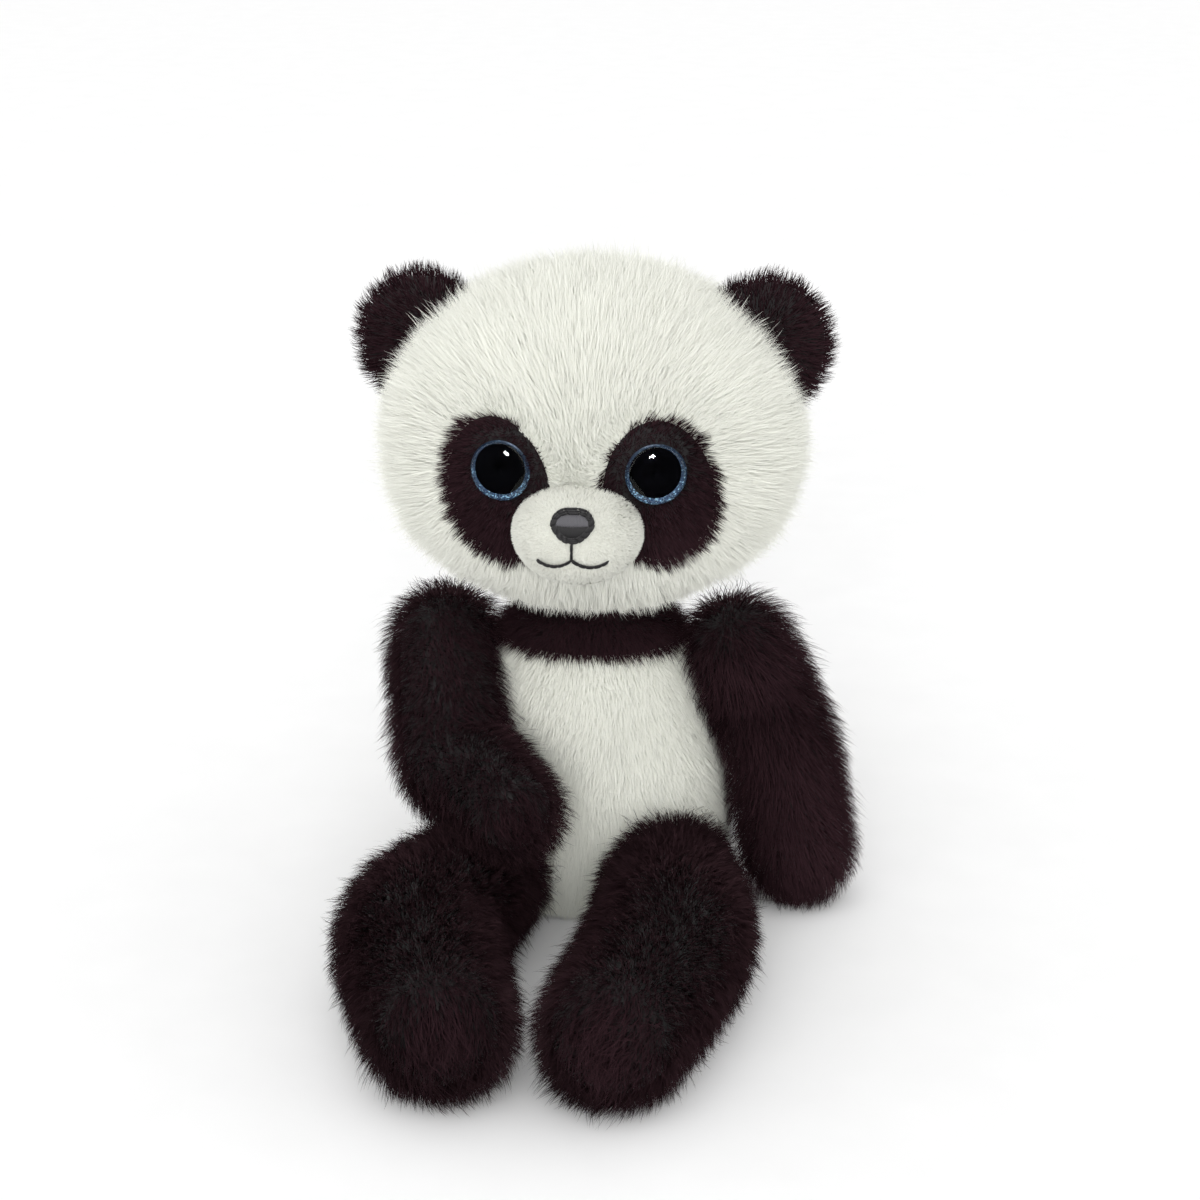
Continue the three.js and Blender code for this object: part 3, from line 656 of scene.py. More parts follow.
def all_coats(name, kind, skin, comb, length, seed, mask=None, guard=0.75, under=0.95,
              segments=3, wisps=0.0, **settings):
    """A dense short underpile, a longer outer pile and a few wisps, each one piece."""
    s = sizes()
    made = []
    coats = (
        ("under", under, 0.6, s.under_width / MM, 2, 0.25),
        ("guard", guard, 1.0, s.guard_width / MM, segments, settings.pop("clump", 0.5)),
        ("wisp", wisps, 1.32, s.guard_width / MM, 4, 0.6),
    )
    for index, (coat, density, share, width, steps, clump) in enumerate(coats):
        rng = np.random.default_rng(seed + 17 * index)
        roots, normals = scatter(skin, density, rng, mask)
        if not len(roots):
            continue
        hair = length(roots) if callable(length) else np.full(len(roots), length)
        made.append(grow(
            f"{name}_{coat}_pile", pile_finish(kind), roots, normals,
            comb(roots, normals), hair * share, width, seed + 31 * index,
            segments=steps, clump=clump, **settings))
    return made


# ---- head ---------------------------------------------------------------------------
def patch_share(points, side, grow_by=-PATCH_INSET):
    """How far out in an eye patch a point is: 1 at the edge of the patch."""
    x = points[:, 0] - (HEAD_CENTRE[0] + side * PATCH_X)
    z = points[:, 2] - PATCH_Z
    c, s = math.cos(PATCH_TILT), math.sin(PATCH_TILT)
    u, v = x * c + z * s, -x * s + z * c
    front = points[:, 1] < HEAD_CENTRE[1]
    d = np.sqrt((u / (PATCH_HALF[0] + grow_by)) ** 2 + (v / (PATCH_HALF[1] + grow_by)) ** 2)
    return np.where(front, d, 9.0)


def eye_seat(side):
    """Middle of the eye's back plane and the way it looks."""
    x, z = EYE_X, EYE_Z
    depth = math.sqrt(1 - (x / HEAD_HALF[0]) ** 2 - ((z - HEAD_CENTRE[2]) / HEAD_HALF[2]) ** 2)
    seat = np.array([HEAD_CENTRE[0] + side * x, HEAD_CENTRE[1] - HEAD_HALF[1] * depth + 0.4, z])
    return seat, unit(np.array([side * 0.2, -1.0, 0.03]))


def near_eye(points, radius):
    """True for points on the face within that radius of either eye's axis."""
    near = np.zeros(len(points), bool)
    for side in (1, -1):
        seat, look = eye_seat(side)
        rel = points - seat
        flat = rel - np.outer(rel @ look, look)
        near |= (np.linalg.norm(flat, axis=1) < radius) & (points[:, 1] < HEAD_CENTRE[1])
    return near


def under_muzzle(points, grow_by):
    """True for points of the face that the muzzle covers."""
    rel = (points - MUZZLE_CENTRE) / (MUZZLE_HALF + grow_by)
    return (np.hypot(rel[:, 0], rel[:, 2]) < 1) & (points[:, 1] < HEAD_CENTRE[1])


def face_comb(points, normals):
    """Pile flows away from the muzzle over the face, and down the back of the head."""
    start = MUZZLE_CENTRE + np.array([0.0, 0.0, 6.0])
    away = unit(points - start)
    back = np.clip((points[:, 1] - HEAD_CENTRE[1] + 10) / 45, 0, 1)[:, None]
    low = np.clip((HEAD_CENTRE[2] - 12 - points[:, 2]) / 30, 0, 1)[:, None]
    flow = away * (1 - 0.75 * back) - UP * (0.8 * back + 0.9 * low)
    for side in (1, -1):
        middle = np.array([HEAD_CENTRE[0] + side * PATCH_X, HEAD_CENTRE[1] - 45, PATCH_Z])
        close = np.clip((1.45 - patch_share(points, side)) / 0.4, 0, 1)[:, None]
        flow = flow * (1 - close) + unit(points - middle) * close
    return flow


class PANDA_OT_head(bpy.types.Operator):
    """Head cover: skin, white pile and the two dark eye patches"""
    bl_idname = "panda.head"
    bl_label = "Head"

    def execute(self, context):
        skin = round_skin(HEAD_CENTRE, HEAD_HALF - 2.0, HEAD_FULLNESS)
        cover = skin.build("head_cover", backing_finish("white_pile"))
        settle(cover, "head",
               ("face_panel", "chin_panel", "crown_gusset", "head_side_left",
                "head_side_right", "head_stuffing"))
        pile = sizes().head_pile / MM

        def white(points):
            dark = np.minimum(patch_share(points, 1), patch_share(points, -1))
            wobble = 0.05 * waves(points, 3.0, 5)[:, 0]
            clear = (dark + wobble > 1.0) & ~under_muzzle(points, -1.0)
            return clear & (np.linalg.norm(points - NECK, axis=1) > NECK_OPENING)

        def white_length(points):
            dark = np.minimum(patch_share(points, 1), patch_share(points, -1))
            near_patch = np.clip((dark - 1.0) / 0.5, 0, 1)
            rel = (points - MUZZLE_CENTRE) / MUZZLE_HALF
            by_muzzle = np.clip((np.hypot(rel[:, 0], rel[:, 2]) - 1) / 0.7, 0, 1)
            front = points[:, 1] < HEAD_CENTRE[1] - 20
            short = np.where(front, np.minimum(near_patch, by_muzzle), 1.0)
            low = np.clip((HEAD_CENTRE[2] - 20 - points[:, 2]) / 20, 0, 1)
            return pile * (0.45 + 0.55 * short) * (1 - 0.35 * low)

        regions = {
            "face": lambda p: (p[:, 1] < FACE_BACK) & (p[:, 2] >= BEARD_TOP),
            "beard": lambda p: (p[:, 1] < FACE_BACK) & (p[:, 2] < BEARD_TOP),
            "crown": lambda p: (p[:, 1] >= FACE_BACK) & (p[:, 2] >= CROWN_LOW),
            "nape": lambda p: (p[:, 1] >= FACE_BACK) & (p[:, 2] < CROWN_LOW),
        }
        usual = {"guard": 4.0, "under": 2.6, "wisps": 0.2, "segments": 2, "lift": (20, 56),
                 "clump": 0.18, "clump_size": 2.6, "swirl": 0.22}
        longer = {"beard": {"guard": 3.4, "under": 2.2, "wisps": 0.5, "lift": (30, 66),
                            "clump": 0.75, "clump_size": 4.5, "swirl": 0.4}}
        for index, (region, inside) in enumerate(regions.items()):
            for piece in all_coats(
                    f"head_{region}", "white_pile", skin, face_comb, white_length,
                    SEED + 100 * index, mask=lambda p, f=inside: white(p) & f(p),
                    **longer.get(region, usual)):
                settle(piece, "head")
        return self.patches()

    @staticmethod
    def patch_skin(side, rings=14, n=60):
        """An oval of cloth lying on the face, with the same outline as its pile."""
        half = HEAD_HALF - PATCH_DEPTH
        c, s = math.cos(PATCH_TILT), math.sin(PATCH_TILT)

        def on_face(share, a):
            u = (PATCH_HALF[0] - PATCH_INSET) * share * math.cos(a)
            v = (PATCH_HALF[1] - PATCH_INSET) * share * math.sin(a)
            x = side * PATCH_X + u * c - v * s
            z = PATCH_Z + u * s + v * c
            height = (z - HEAD_CENTRE[2]) / half[2]
            spread = (1 - height ** 2) ** (0.5 if height > 0 else 0.5 / HEAD_FULLNESS)
            depth = max(0.0, 1 - (x / (half[0] * spread)) ** 2)
            return [HEAD_CENTRE[0] + x, HEAD_CENTRE[1] - half[1] * spread * math.sqrt(depth), z]

        verts = [on_face(0, 0)]
        faces = []
        for i in range(rings):
            inner = 1 + (i - 1) * n
            verts += [on_face((i + 1) / rings, 2 * math.pi * j / n) for j in range(n)]
            for j in range(n):
                k = (j + 1) % n
                outer = (inner + n + k, inner + n + j)
                faces.append((0, *outer) if i == 0 else (inner + j, inner + k, *outer))
        skin = Skin(verts, faces)
        if skin.normals[:, 1].sum() > 0:
            skin = Skin(verts, [f[::-1] for f in faces])
        return skin

    def patches(self):
        pile = sizes().patch_pile / MM
        for name, side in (("left", 1), ("right", -1)):
            whole = round_skin(HEAD_CENTRE, HEAD_HALF - PATCH_DEPTH, HEAD_FULLNESS, 110, 64)
            patch = self.patch_skin(side).build(
                f"eye_patch_cover_{name}", backing_finish("dark_pile"))
            settle(patch, "head", (f"eye_patch_{name}",))

            def dark(points, side=side):
                wobble = 0.05 * waves(points, 3.0, 5)[:, 0]
                inside = patch_share(points, side, -1.2) + wobble < 1.0
                return inside & ~near_eye(points, EYE_RADIUS + 0.2) & ~under_muzzle(points, -1.5)

            def length(points, side=side):
                rim = np.linalg.norm(points - eye_seat(side)[0], axis=1) - EYE_RADIUS
                return pile * (0.38 + 0.62 * np.clip(rim / 7, 0, 1))

            def comb(points, normals, side=side):
                rel = points - eye_seat(side)[0]
                over = np.clip(1 - (np.linalg.norm(rel, axis=1) - EYE_RADIUS) / 3.5, 0, 1)
                where = np.maximum(rel[:, 2], -side * rel[:, 0])
                over = (over * np.clip(where / 5, 0, 1))[:, None]
                drift = np.array([0.35 * side, 0, -0.2])
                return unit(rel) * (1 - 1.8 * over) + drift * (1 - over)

            for piece in all_coats(f"eye_patch_{name}", "dark_pile", whole, comb, length,
                                   SEED + 400 + side, mask=dark, guard=2.6, under=2.0,
                                   lift=(25, 66), clump=0.35, droop=0.2):
                settle(piece, "head")
        return {"FINISHED"}


class PANDA_OT_ears(bpy.types.Operator):
    """Two round ears with dark pile on both faces"""
    bl_idname = "panda.ears"
    bl_label = "Ears"

    def execute(self, context):
        pile = sizes().ear_pile / MM
        for name, side in (("left", 1), ("right", -1)):
            reach = np.array([side * math.cos(EAR_LIFT), 0, math.sin(EAR_LIFT)])
            rim = joint_at(f"ear_{name}_bend")
            skin = round_skin(np.zeros(3), np.array(EAR_HALF), 1.0, 56, 30)
            c, s = math.cos(side * EAR_TURN), math.sin(side * EAR_TURN)
            spin = np.array([[c, 0, s], [0, 1, 0], [-s, 0, c]])
            verts = skin.verts @ spin.T
            dish = np.exp(-((verts[:, 0] ** 2 + verts[:, 2] ** 2) / 150.0))
            verts[:, 1] += np.where(verts[:, 1] < 0, 2.2, 0.6) * dish
            skin = Skin(verts + rim + reach * EAR_OUT, skin.polys)
            cover = skin.build(f"ear_cover_{name}", backing_finish("dark_pile"))
            settle(cover, f"ear_{name}", (f"ear_front_{name}", f"ear_back_{name}"))
            start = rim - reach * 4

            def comb(points, normals, start=start):
                return unit(points - start) + 0.2 * UP

            def outside(points):
                rel = (points - HEAD_CENTRE) / (HEAD_HALF - 1.0)
                return np.linalg.norm(rel, axis=1) > 1.0

            for piece in all_coats(f"ear_{name}", "dark_pile", skin, comb, pile,
                                   SEED + 500 + side, mask=outside, guard=2.2, under=1.6,
                                   lift=(25, 62), clump=0.4, droop=0.1):
                settle(piece, f"ear_{name}")
        return {"FINISHED"}


# ---- muzzle, nose and mouth -----------------------------------------------------------
def on_muzzle(x, z, above=0.0):
    """A point on the front of the muzzle, that far above its backing."""
    half = MUZZLE_HALF - 0.6 + above
    inside = 1 - (x / half[0]) ** 2 - ((z - MUZZLE_CENTRE[2]) / half[2]) ** 2
    depth = half[1] * math.sqrt(max(inside, 0.02))
    return np.array([MUZZLE_CENTRE[0] + x, MUZZLE_CENTRE[1] - depth, z])


def thread_skin(path, radius, n=8):
    """One thread along a path, tapering into the cloth at both ends."""
    path = np.asarray(path, float)
    share = np.linspace(0, 1, len(path))
    size = radius * np.minimum(1.0, 0.35 + 5.0 * np.minimum(share, 1 - share))
    return limb_skin(path, size, n=n, steps=1, cap=2)[0]


def join_skins(skins):
    """Several skins as one."""
    verts, polys, base = [], [], 0
    for skin in skins:
        verts.append(skin.verts)
        polys += [tuple(i + base for i in f) for f in skin.polys]
        base += len(skin.verts)
    return Skin(np.vstack(verts), polys)


NOSE_Z = MUZZLE_CENTRE[2] + 0.46 * MUZZLE_HALF[2]
NOSE_HALF = (0.29 * MUZZLE_HALF[0], 0.25 * MUZZLE_HALF[2])


def nose_edge(angle, grow_by):
    """A point of the nose's outline: a rounded oblong, narrower below."""
    w, h = NOSE_HALF[0] + grow_by, NOSE_HALF[1] + grow_by
    narrow = 1 - 0.35 * abs(math.sin(angle)) if math.sin(angle) < 0 else 1
    x = w * math.copysign(abs(math.cos(angle)) ** 0.7, math.cos(angle)) * narrow
    return x, NOSE_Z + h * math.sin(angle)


class PANDA_OT_muzzle(bpy.types.Operator):
    """Muzzle cup in velvety short pile"""
    bl_idname = "panda.muzzle"
    bl_label = "Muzzle"

    def execute(self, context):
        skin = round_skin(MUZZLE_CENTRE, MUZZLE_HALF - 0.6, 1.0, 64, 40)
        cover = skin.build("muzzle_cup", backing_finish("short_pile"))
        settle(cover, "head", ("muzzle_cover", "muzzle_stuffing"))
        rng = np.random.default_rng(SEED + 600)

        def clear(points):
            rel = (points - HEAD_CENTRE) / (HEAD_HALF - 2.5)
            nose = np.hypot((points[:, 0] - MUZZLE_CENTRE[0]) / (NOSE_HALF[0] + 0.4),
                            (points[:, 2] - NOSE_Z) / (NOSE_HALF[1] + 0.4))
            return (np.linalg.norm(rel, axis=1) > 1) & (nose > 1)

        roots, normals = scatter(skin, 9.0, rng, clear)
        centre = MUZZLE_CENTRE + np.array([0, -10.0, 3.0])
        comb = unit(roots - centre)
        pile = sizes().muzzle_pile / MM
        piece = grow("muzzle_pile", pile_finish("short_pile"), roots, normals, comb, pile,
                     0.22, SEED + 601, lift=(15, 45), swirl=0.5, clump=0.0, segments=2,
                     droop=0.0)
        settle(piece, "head")
        return {"FINISHED"}


class PANDA_OT_embroidery(bpy.types.Operator):
    """Satin-stitched nose and a three-part stitched mouth"""
    bl_idname = "panda.embroidery"
    bl_label = "Nose and mouth"

    def execute(self, context):
        self.nose()
        self.mouth()
        return {"FINISHED"}

    @staticmethod
    def fill(low_share, high_share, x_shrink, above, pitch, radius):
        """Upright satin threads side by side, between two heights of the nose.

        Each share holds a part of the nose's half height there, and a shift in mm."""
        threads = []
        width = NOSE_HALF[0] - x_shrink
        count = int(2 * width / pitch)
        for i in range(count + 1):
            x = -width + 2 * width * i / count
            zs = []
            for sign in (1, -1):
                best = 0.0
                for step in range(60):
                    angle = sign * math.pi * (step + 0.5) / 120
                    for a in (angle, sign * math.pi - angle):
                        ex, ez = nose_edge(a, -x_shrink)
                        if abs(ex - x) < 0.35:
                            best = max(best, abs(ez - NOSE_Z))
                zs.append(sign * best)
            top = NOSE_Z + zs[0] * high_share[0] + high_share[1]
            bottom = NOSE_Z + zs[1] * low_share[0] + low_share[1]
            if top - bottom < 0.5:
                continue
            path = [on_muzzle(x, bottom + (top - bottom) * k / 6,
                              above + 0.25 * math.sin(math.pi * k / 6)) for k in range(7)]
            threads.append(thread_skin(path, radius))
        return join_skins(threads)

    def nose(self):
        grey = self.fill((0.0, -0.2), (1.0, 0.0), 0.8, 0.75, 0.42, 0.30)
        piece = grey.build("nose_satin_threads", thread_finish("grey_thread"))
        settle(piece, "head", ("nose_satin_stitch",))
        black = [self.fill((1.0, 0.0), (0.0, -0.1), 0.5, 0.7, 0.42, 0.32)]
        for grow_by in (-0.5, 0.0, 0.5):
            stitches = 14
            for i in range(stitches):
                start = 2 * math.pi * (i + 0.33 * grow_by) / stitches
                sweep = 2 * math.pi * 1.15 / stitches
                path = [on_muzzle(*nose_edge(start + sweep * k / 5, grow_by),
                                  0.95 + 0.3 * math.sin(math.pi * k / 5)) for k in range(6)]
                black.append(thread_skin(path, 0.4))
        piece = join_skins(black).build("nose_outline_threads", thread_finish("black_thread"))
        settle(piece, "head", ("nose_outline_stitch",))

    @staticmethod
    def mouth():
        top = NOSE_Z - NOSE_HALF[1] - 0.4
        fork = top - 0.36 * MUZZLE_HALF[2]
        reach = 0.54 * MUZZLE_HALF[0]
        lines = [[(0.0, top), (0.0, (top + fork) / 2), (0.0, fork)]]
        for side in (1, -1):
            line = []
            for i in range(13):
                t = i / 12
                line.append((side * reach * t,
                             fork - MUZZLE_HALF[2] * (0.075 * t + 0.5 * t * (1 - t))))
            lines.append(line)
        stitches = []
        for line in lines:
            line = smooth_line(np.array(line), 4)
            run = np.concatenate([[0], np.cumsum(np.linalg.norm(np.diff(line, axis=0), axis=1))])
            count = max(2, int(run[-1] / 1.9))
            for i in range(count):
                ends = run[-1] * np.array([i / count, (i + 1.18) / count])
                samples = np.linspace(ends[0], min(ends[1], run[-1]), 6)
                xs = np.interp(samples, run, line[:, 0])
                zs = np.interp(samples, run, line[:, 1])
                for strand in (-0.2, 0.2):
                    path = [on_muzzle(x + strand * 0.4, z + strand,
                                      1.1 + 0.35 * math.sin(math.pi * k / 5))
                            for k, (x, z) in enumerate(zip(xs, zs))]
                    stitches.append(thread_skin(path, 0.34))
        piece = join_skins(stitches).build("mouth_threads", thread_finish("black_thread"))
        settle(piece, "head", ("mouth_stitch",))


# ---- eyes -----------------------------------------------------------------------------
def turned_rings(profile, seat, look, n=64):
    """Rings about the eye's axis; the profile holds a radius and a height for each."""
    side = unit(np.cross(look, UP))
    lift = np.cross(side, look)
    a = np.linspace(0, 2 * math.pi, n, endpoint=False)
    return np.array([
        seat + look * h + r * (np.outer(np.cos(a), side) + np.outer(np.sin(a), lift))
        for r, h in profile])


def faces_outward(skin):
    return np.einsum("ij,ij->", skin.normals, skin.verts - skin.verts.mean(axis=0)) >= 0


def closed_turning(profile, seat, look):
    """A ring-shaped turning whose profile closes on itself."""
    rings = turned_rings(profile, seat, look)
    count, n = rings.shape[:2]
    faces = []
    for i in range(count):
        for j in range(n):
            k, m = (j + 1) % n, (i + 1) % count
            faces.append((i * n + j, i * n + k, m * n + k, m * n + j))
    skin = Skin(rings.reshape(-1, 3), faces)
    return skin if faces_outward(skin) else Skin(skin.verts, [f[::-1] for f in faces])


class PANDA_OT_eyes(bpy.types.Operator):
    """Domed clear eyes over black pupils and blue glitter discs"""
    bl_idname = "panda.eyes"
    bl_label = "Eyes"

    def execute(self, context):
        for name, side in (("left", 1), ("right", -1)):
            seat, look = eye_seat(side)
            dome = self.dome(seat, look).build(f"eye_dome_{name}", lens_finish())
            settle(dome, "head", (f"eye_lens_{name}",))
            rim = 0.76 * EYE_RADIUS
            pupil = closed_turning(
                [(0.02, 0.72), (rim, 0.72), (0.78 * EYE_RADIUS, 0.9), (rim, 1.08), (0.02, 1.08)],
                seat + np.array([PUPIL_SHIFT[0] * side, 0.0, PUPIL_SHIFT[1]]), look)
            pupil = pupil.build(f"eye_pupil_disc_{name}", moulded_finish("black_paint"))
            settle(pupil, "head", (f"eye_pupil_{name}",))
            rim = 0.985 * EYE_RADIUS
            foil = closed_turning(
                [(2.5, 0.0), (rim, 0.0), (EYE_RADIUS, 0.3), (rim, 0.6), (2.5, 0.6)], seat, look)
            foil = foil.build(f"eye_foil_{name}", glitter_finish())
            settle(foil, "head", (f"eye_glitter_disc_{name}",))
        return {"FINISHED"}

    @staticmethod
    def dome(seat, look, steps=16):
        """A flat-based dome, its base edge slightly rounded."""
        profile = [(0.5 * EYE_RADIUS, 0.0), (0.9 * EYE_RADIUS, 0.0), (0.955 * EYE_RADIUS, 0.1),
                   (0.97 * EYE_RADIUS, 0.3)]
        for i in range(1, steps):
            t = math.pi / 2 * i / steps
            profile.append((EYE_RADIUS * 0.97 * math.cos(t), EYE_RIM + EYE_CROWN * math.sin(t)))
        rings = turned_rings(profile, seat, look)
        top = seat + look * (EYE_RIM + EYE_CROWN)
        skin = ring_skin(rings, seat, top)
        return skin if faces_outward(skin) else ring_skin(rings[:, ::-1], seat, top)


# ---- trunk ------------------------------------------------------------------------------
def torso_profile(height):
    stations = smooth_line(np.array(TORSO_STATIONS), 6)
    share = height / TORSO_HEIGHT
    return (np.interp(share, stations[:, 0], stations[:, 1]) * TORSO_HALF[0] * 2,
            np.interp(share, stations[:, 0], stations[:, 2]) * TORSO_HALF[1] * 2)


def torso_centre(height):
    y = NECK[1] - TORSO_LEAN * TORSO_HEIGHT + TORSO_LEAN * height
    return np.array([NECK[0], y, height])


def torso_skin(inset, levels=44, n=84):
    rings = []
    for i in range(levels):
        height = inset + (TORSO_HEIGHT - 2 * inset) * (i / (levels - 1)) ** 1.15
        w, d = torso_profile(height)
        rings.append(ellipse(torso_centre(height), w - inset, d - inset, n))
    return ring_skin(rings, torso_centre(inset), torso_centre(TORSO_HEIGHT - inset))


class PANDA_OT_torso(bpy.types.Operator):
    """Trunk: white belly and back under a dark chest band"""
    bl_idname = "panda.torso"
    bl_label = "Trunk"

    def execute(self, context):
        skin = torso_skin(1.6)
        cover = skin.build("torso_cover", backing_finish("white_pile"))
        settle(cover, "torso",
               ("seat_panel", "belly_panel", "back_panel_left", "back_panel_right",
                "torso_stuffing"))
        rings = []
        for i in range(9):
            height = BAND_HEIGHT + (TORSO_HEIGHT - 2 - BAND_HEIGHT) * i / 8
            w, d = torso_profile(height)
            rings.append(ellipse(torso_centre(height), w - 1.2, d - 1.2, 84))
        band = ring_skin(rings, torso_centre(BAND_HEIGHT), torso_centre(TORSO_HEIGHT - 1.6))
        band = band.build("chest_band_cover", backing_finish("dark_pile"))
        settle(band, "torso", ("chest_band_front", "chest_band_back"))
        pile = sizes().body_pile / MM

        def seam(points):
            side = np.abs(points[:, 0] - NECK[0]) / 34.0
            return BAND_HEIGHT - 0.6 * side + 0.5 * waves(points, 4.0, 8)[:, 1]

        def down(points, normals):
            return np.tile(-UP, (len(points), 1)) + 0.15 * waves(points, 14.0, 9)

        coats = (
            ("belly", "white_pile", 0.8,
             lambda p: (p[:, 2] < seam(p)) & (p[:, 1] < BELLY_BACK)),
            ("back", "white_pile", 1.0,
             lambda p: (p[:, 2] < seam(p)) & (p[:, 1] >= BELLY_BACK)),
            ("chest_band", "dark_pile", 1.05, lambda p: p[:, 2] >= seam(p)),
        )
        for index, (name, kind, share, inside) in enumerate(coats):
            for piece in all_coats(name, kind, skin, down, pile * share,
                                   SEED + 700 + 10 * index,
                                   mask=lambda p, f=inside: f(p) & (p[:, 2] > SEAT_CLEAR),
                                   guard=4.0, under=2.6, segments=2, lift=(22, 70), clump=0.15,
                                   swirl=0.12):
                settle(piece, "torso")
        self.neck()
        return {"FINISHED"}

    @staticmethod
    def neck():
        low = NECK + np.array([0, 0, -1.0])
        rings = [ellipse(low + UP * 2.3 * i, 15.6 - 0.25 * i, 15.2 - 0.25 * i, 48)
                 for i in range(6)]
        skin = ring_skin(rings, low, low + UP * 12.5)
        cover = skin.build("neck_cover", backing_finish("dark_pile"))
        settle(cover, "neck", ("neck_stuffing",))

        def down(points, normals):
            return np.tile(-UP, (len(points), 1))

        for piece in all_coats("neck", "dark_pile", skin, down, 7.0, SEED + 760,
                               mask=lambda p: p[:, 2] < NECK[2] + 9, guard=1.0, under=0.8,
                               lift=(40, 75), clump=0.3):
            settle(piece, "neck")


# ---- limbs ------------------------------------------------------------------------------
def part_nodes(*parts):
    return [f"{part}_{layer}" for part in parts
            for layer in ("upper_panel", "under_panel", "stuffing")]


def limb(name, upper, lower, points, radii, seed, bend, reach, pile):
    """One floppy limb: a cover, a near part of the pile that rides with the upper part, and a far
    part of the pile.

    The third point is the crease; the pile is split into the two parts a little before it."""
    skin, centres, along = limb_skin(points, radii)
    split_at = nearest_index(centres, np.array([(points[0] + 1.4 * bend) / 2.4]))[0]

    def comb(p, normals):
        return along[nearest_index(centres, p)] + 0.1 * waves(p, 16.0, seed)

    def near(p):
        return nearest_index(centres, p) < split_at

    def tip_length(p):
        root = np.linalg.norm(p - points[0], axis=1)
        return pile * (1 + 0.25 * np.clip(1 - root / 22, 0, 1))

    cover = skin.build(f"{name}_cover", backing_finish("dark_pile"))
    settle(cover, None, part_nodes(upper, lower))
    turning = [cover]
    for index, (half, mask) in enumerate((("near", near), ("far", lambda p: ~near(p)))):
        for piece in all_coats(f"{name}_{half}", "dark_pile", skin, comb, tip_length,
                               seed + 10 * index, mask=mask, guard=1.9, under=1.3, wisps=0.22,
                               lift=(24, 66), clump=0.4, clump_size=3.2):
            settle(piece, upper if half == "near" else None)
            if half == "far":
                turning.append(piece)
    start = bend + unit(points[0] - bend) * reach
    end = bend + unit(points[-1] - bend) * reach
    for piece in turning:
        tuple(start * MM)
        tuple(end * MM)
        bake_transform(piece)


def node_box(*names):
    """Lowest and highest corners over some solids, in millimetres."""
    boxes = np.array([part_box(name) for name in names]) / MM
    return boxes[:, 0].min(axis=0), boxes[:, 1].max(axis=0)


class PANDA_OT_arms(bpy.types.Operator):
    """Two long arms, one hand in the lap and one on the floor"""
    bl_idname = "panda.arms"
    bl_label = "Arms"

    def execute(self, context):
        pile = sizes().limb_pile / MM * 0.95
        for name, side in (("left", 1), ("right", -1)):
            radius = HAND_RADIUS[name]
            shoulder = joint_at(f"shoulder_{name}_raise")
            elbow = joint_at(f"elbow_{name}_bend")
            low, high = node_box(f"forearm_{name}_upper_panel", f"forearm_{name}_under_panel")
            hand = np.array([high[0] - radius, low[1] + radius, low[2] + radius])
            if name == "left":
                hand[1] = elbow[1] - 5.0
            middle = (shoulder + elbow) / 2 + np.array([side * 0.6, 0, 0])
            points = np.array([shoulder, middle, elbow, (elbow + hand) / 2, hand])
            radii = np.array([*ARM_RADII, (ARM_RADII[2] + radius) / 2, radius]) - COVER_INSET
            limb(f"arm_{name}", f"upper_arm_{name}", f"forearm_{name}", points, radii,
                 SEED + 800 + 40 * side, elbow, 12, pile)
        return {"FINISHED"}


class PANDA_OT_legs(bpy.types.Operator):
    """Two long legs stretched forward with the feet turned in"""
    bl_idname = "panda.legs"
    bl_label = "Legs"

    def execute(self, context):
        pile = sizes().limb_pile / MM
        for name, side in (("left", 1), ("right", -1)):
            hip = joint_at(f"hip_{name}_spread")
            knee = joint_at(f"knee_{name}_lift")
            low, high = node_box(f"foot_{name}_under_panel")
            radius = LEG_RADII[-1]
            foot = np.array([low[0] + radius if name == "left" else high[0] - radius,
                             low[1] + radius, radius])
            points = np.array([hip, (hip + knee) / 2, knee, (knee + foot) / 2, foot])
            points[3][0] += side * 1.0
            radii = np.array(LEG_RADII) - COVER_INSET
            points[:, 2] = np.maximum(points[:, 2], radii + 0.8)
            limb(f"leg_{name}", f"thigh_{name}", f"foot_{name}", points, radii,
                 SEED + 1000 + 40 * side, knee, 14, pile)
        return {"FINISHED"}


# ---- inside parts -------------------------------------------------------------------------
class PANDA_OT_inside(bpy.types.Operator):
    """Finishes for the washers and the pellet bag inside the toy"""
    bl_idname = "panda.inside"
    bl_label = "Inside parts"

    def execute(self, context):
        for node, kind in (("eye_lock_washer_left", "white_plastic"),
                           ("eye_lock_washer_right", "white_plastic"),
                           ("pellet_bag", "pellets")):
            frame["nodes"][node].material_slots[0].material = moulded_finish(kind)
        return {"FINISHED"}


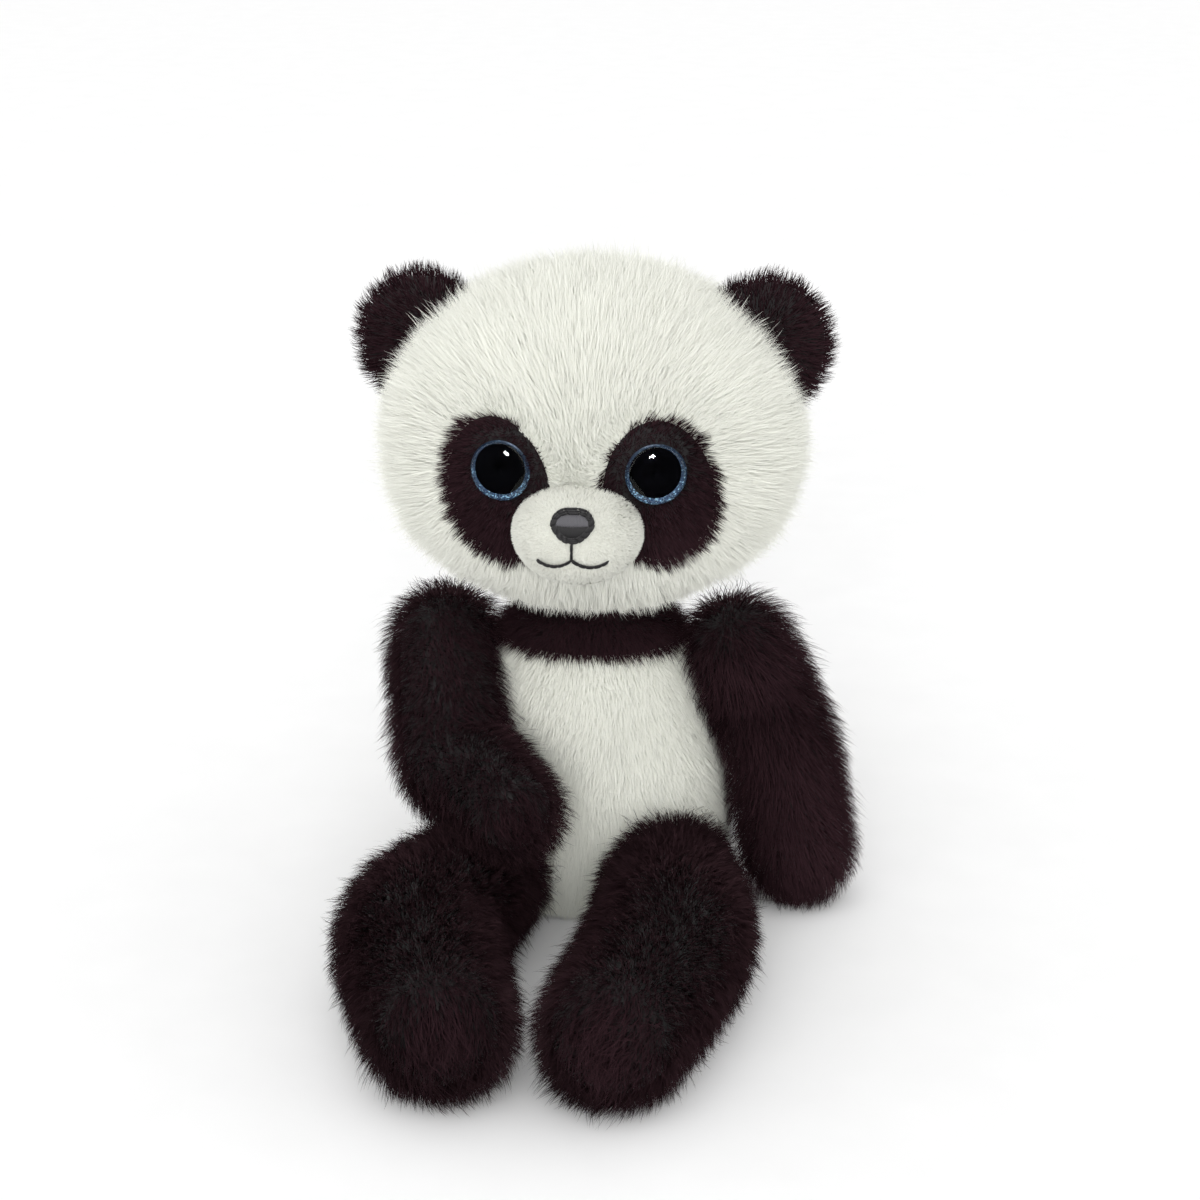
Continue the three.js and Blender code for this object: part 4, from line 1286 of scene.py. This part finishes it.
# ---- stage --------------------------------------------------------------------------------
class PANDA_OT_stage(bpy.types.Operator):
    """Pale floor, soft light and the camera"""
    bl_idname = "panda.stage"
    bl_label = "Stage"

    def execute(self, context):
        self.floor()
        scene = bpy.context.scene
        world = bpy.data.worlds.new("studio")
        world.use_nodes = True
        world.node_tree.nodes["Background"].inputs[0].default_value = (1, 1, 1, 1)
        world.node_tree.nodes["Background"].inputs[1].default_value = 0.9
        scene.world = world
        world.cycles_visibility.glossy = False
        for name, energy, spread, tilt in (("overhead", 0.62, 60, (36, -8)),
                                           ("front", 1.9, 35, (76, 6))):
            sun = bpy.data.lights.new(name, "SUN")
            sun.energy = energy
            sun.angle = math.radians(spread)
            lamp = self.place(bpy.data.objects.new(name, sun))
            lamp.rotation_euler = (math.radians(tilt[0]), math.radians(tilt[1]), 0)
            lamp.visible_glossy = False
        target = Vector(VIEW_TARGET * MM)
        disc = bpy.data.lights.new("catch", "AREA")
        disc.shape = "DISK"
        disc.size = 0.4
        disc.energy = 28
        lamp = self.place(bpy.data.objects.new("catch", disc), target, Vector((0.03, -0.9, 1.05)))
        lamp.visible_diffuse = False
        away = VIEW_DISTANCE * MM * Vector((
            math.sin(VIEW_TURN) * math.cos(VIEW_RISE), -math.cos(VIEW_TURN) * math.cos(VIEW_RISE),
            math.sin(VIEW_RISE)))
        data = bpy.data.cameras.new("camera")
        data.sensor_width = 36
        data.lens = data.sensor_width * VIEW_DISTANCE / VIEW_WIDTH
        data.clip_start = 0.01
        scene.camera = self.place(bpy.data.objects.new("camera", data), target, away)
        scene.view_settings.view_transform = "Standard"
        return {"FINISHED"}

    @staticmethod
    def place(piece, target=None, away=None):
        """Adds a lamp or camera, looking at the target from that far away."""
        if target is not None:
            piece.location = target + away
            piece.rotation_euler = (-away).to_track_quat("-Z", "Y").to_euler()
        bpy.context.scene.collection.objects.link(piece)
        return piece

    def floor(self, size=6.0):
        mesh = bpy.data.meshes.new("floor")
        mesh.from_pydata([(-size, -size, 0), (size, -size, 0), (size, size, 0), (-size, size, 0)],
                         [], [(0, 1, 2, 3)])
        n = Nodes("pale_floor")
        grain = n.noise(n.coords(), 40.0)
        n.surface(Base_Color=n.mix(grain, (0.86, 0.86, 0.86), (0.9, 0.9, 0.9)), Roughness=0.9)
        mesh.materials.append(n.material)
        floor = self.place(bpy.data.objects.new("floor", mesh))
        floor.visible_glossy = False


STEPS = ("stage", "head", "ears", "muzzle", "embroidery", "eyes", "torso", "arms", "legs",
         "inside")


class PANDA_PT_panel(bpy.types.Panel):
    """Lists the steps that build the toy"""
    bl_idname = "PANDA_PT_panel"
    bl_label = "Plush Panda"
    bl_space_type = "VIEW_3D"
    bl_region_type = "UI"
    bl_category = "Plush Panda"

    def draw(self, context):
        for group in (context.scene.panda_sizes, context.scene.panda_colours):
            for name in group.bl_rna.properties.keys():
                if name not in ("rna_type", "name"):
                    self.layout.prop(group, name)
        for step in STEPS:
            self.layout.operator(f"panda.{step}")


CLASSES = (PandaSizes, PandaColours, PANDA_OT_stage, PANDA_OT_head, PANDA_OT_ears,
           PANDA_OT_muzzle, PANDA_OT_embroidery, PANDA_OT_eyes, PANDA_OT_torso, PANDA_OT_arms,
           PANDA_OT_legs, PANDA_OT_inside, PANDA_PT_panel)


def register():
    for cls in CLASSES:
        bpy.utils.register_class(cls)
    bpy.types.Scene.panda_sizes = bpy.props.PointerProperty(type=PandaSizes)
    bpy.types.Scene.panda_colours = bpy.props.PointerProperty(type=PandaColours)


def unregister():
    del bpy.types.Scene.panda_colours
    del bpy.types.Scene.panda_sizes
    for cls in reversed(CLASSES):
        bpy.utils.unregister_class(cls)


def main():
    register()
    for step in STEPS:
        getattr(bpy.ops.panda, step)()


if __name__ == "__main__":
    main()
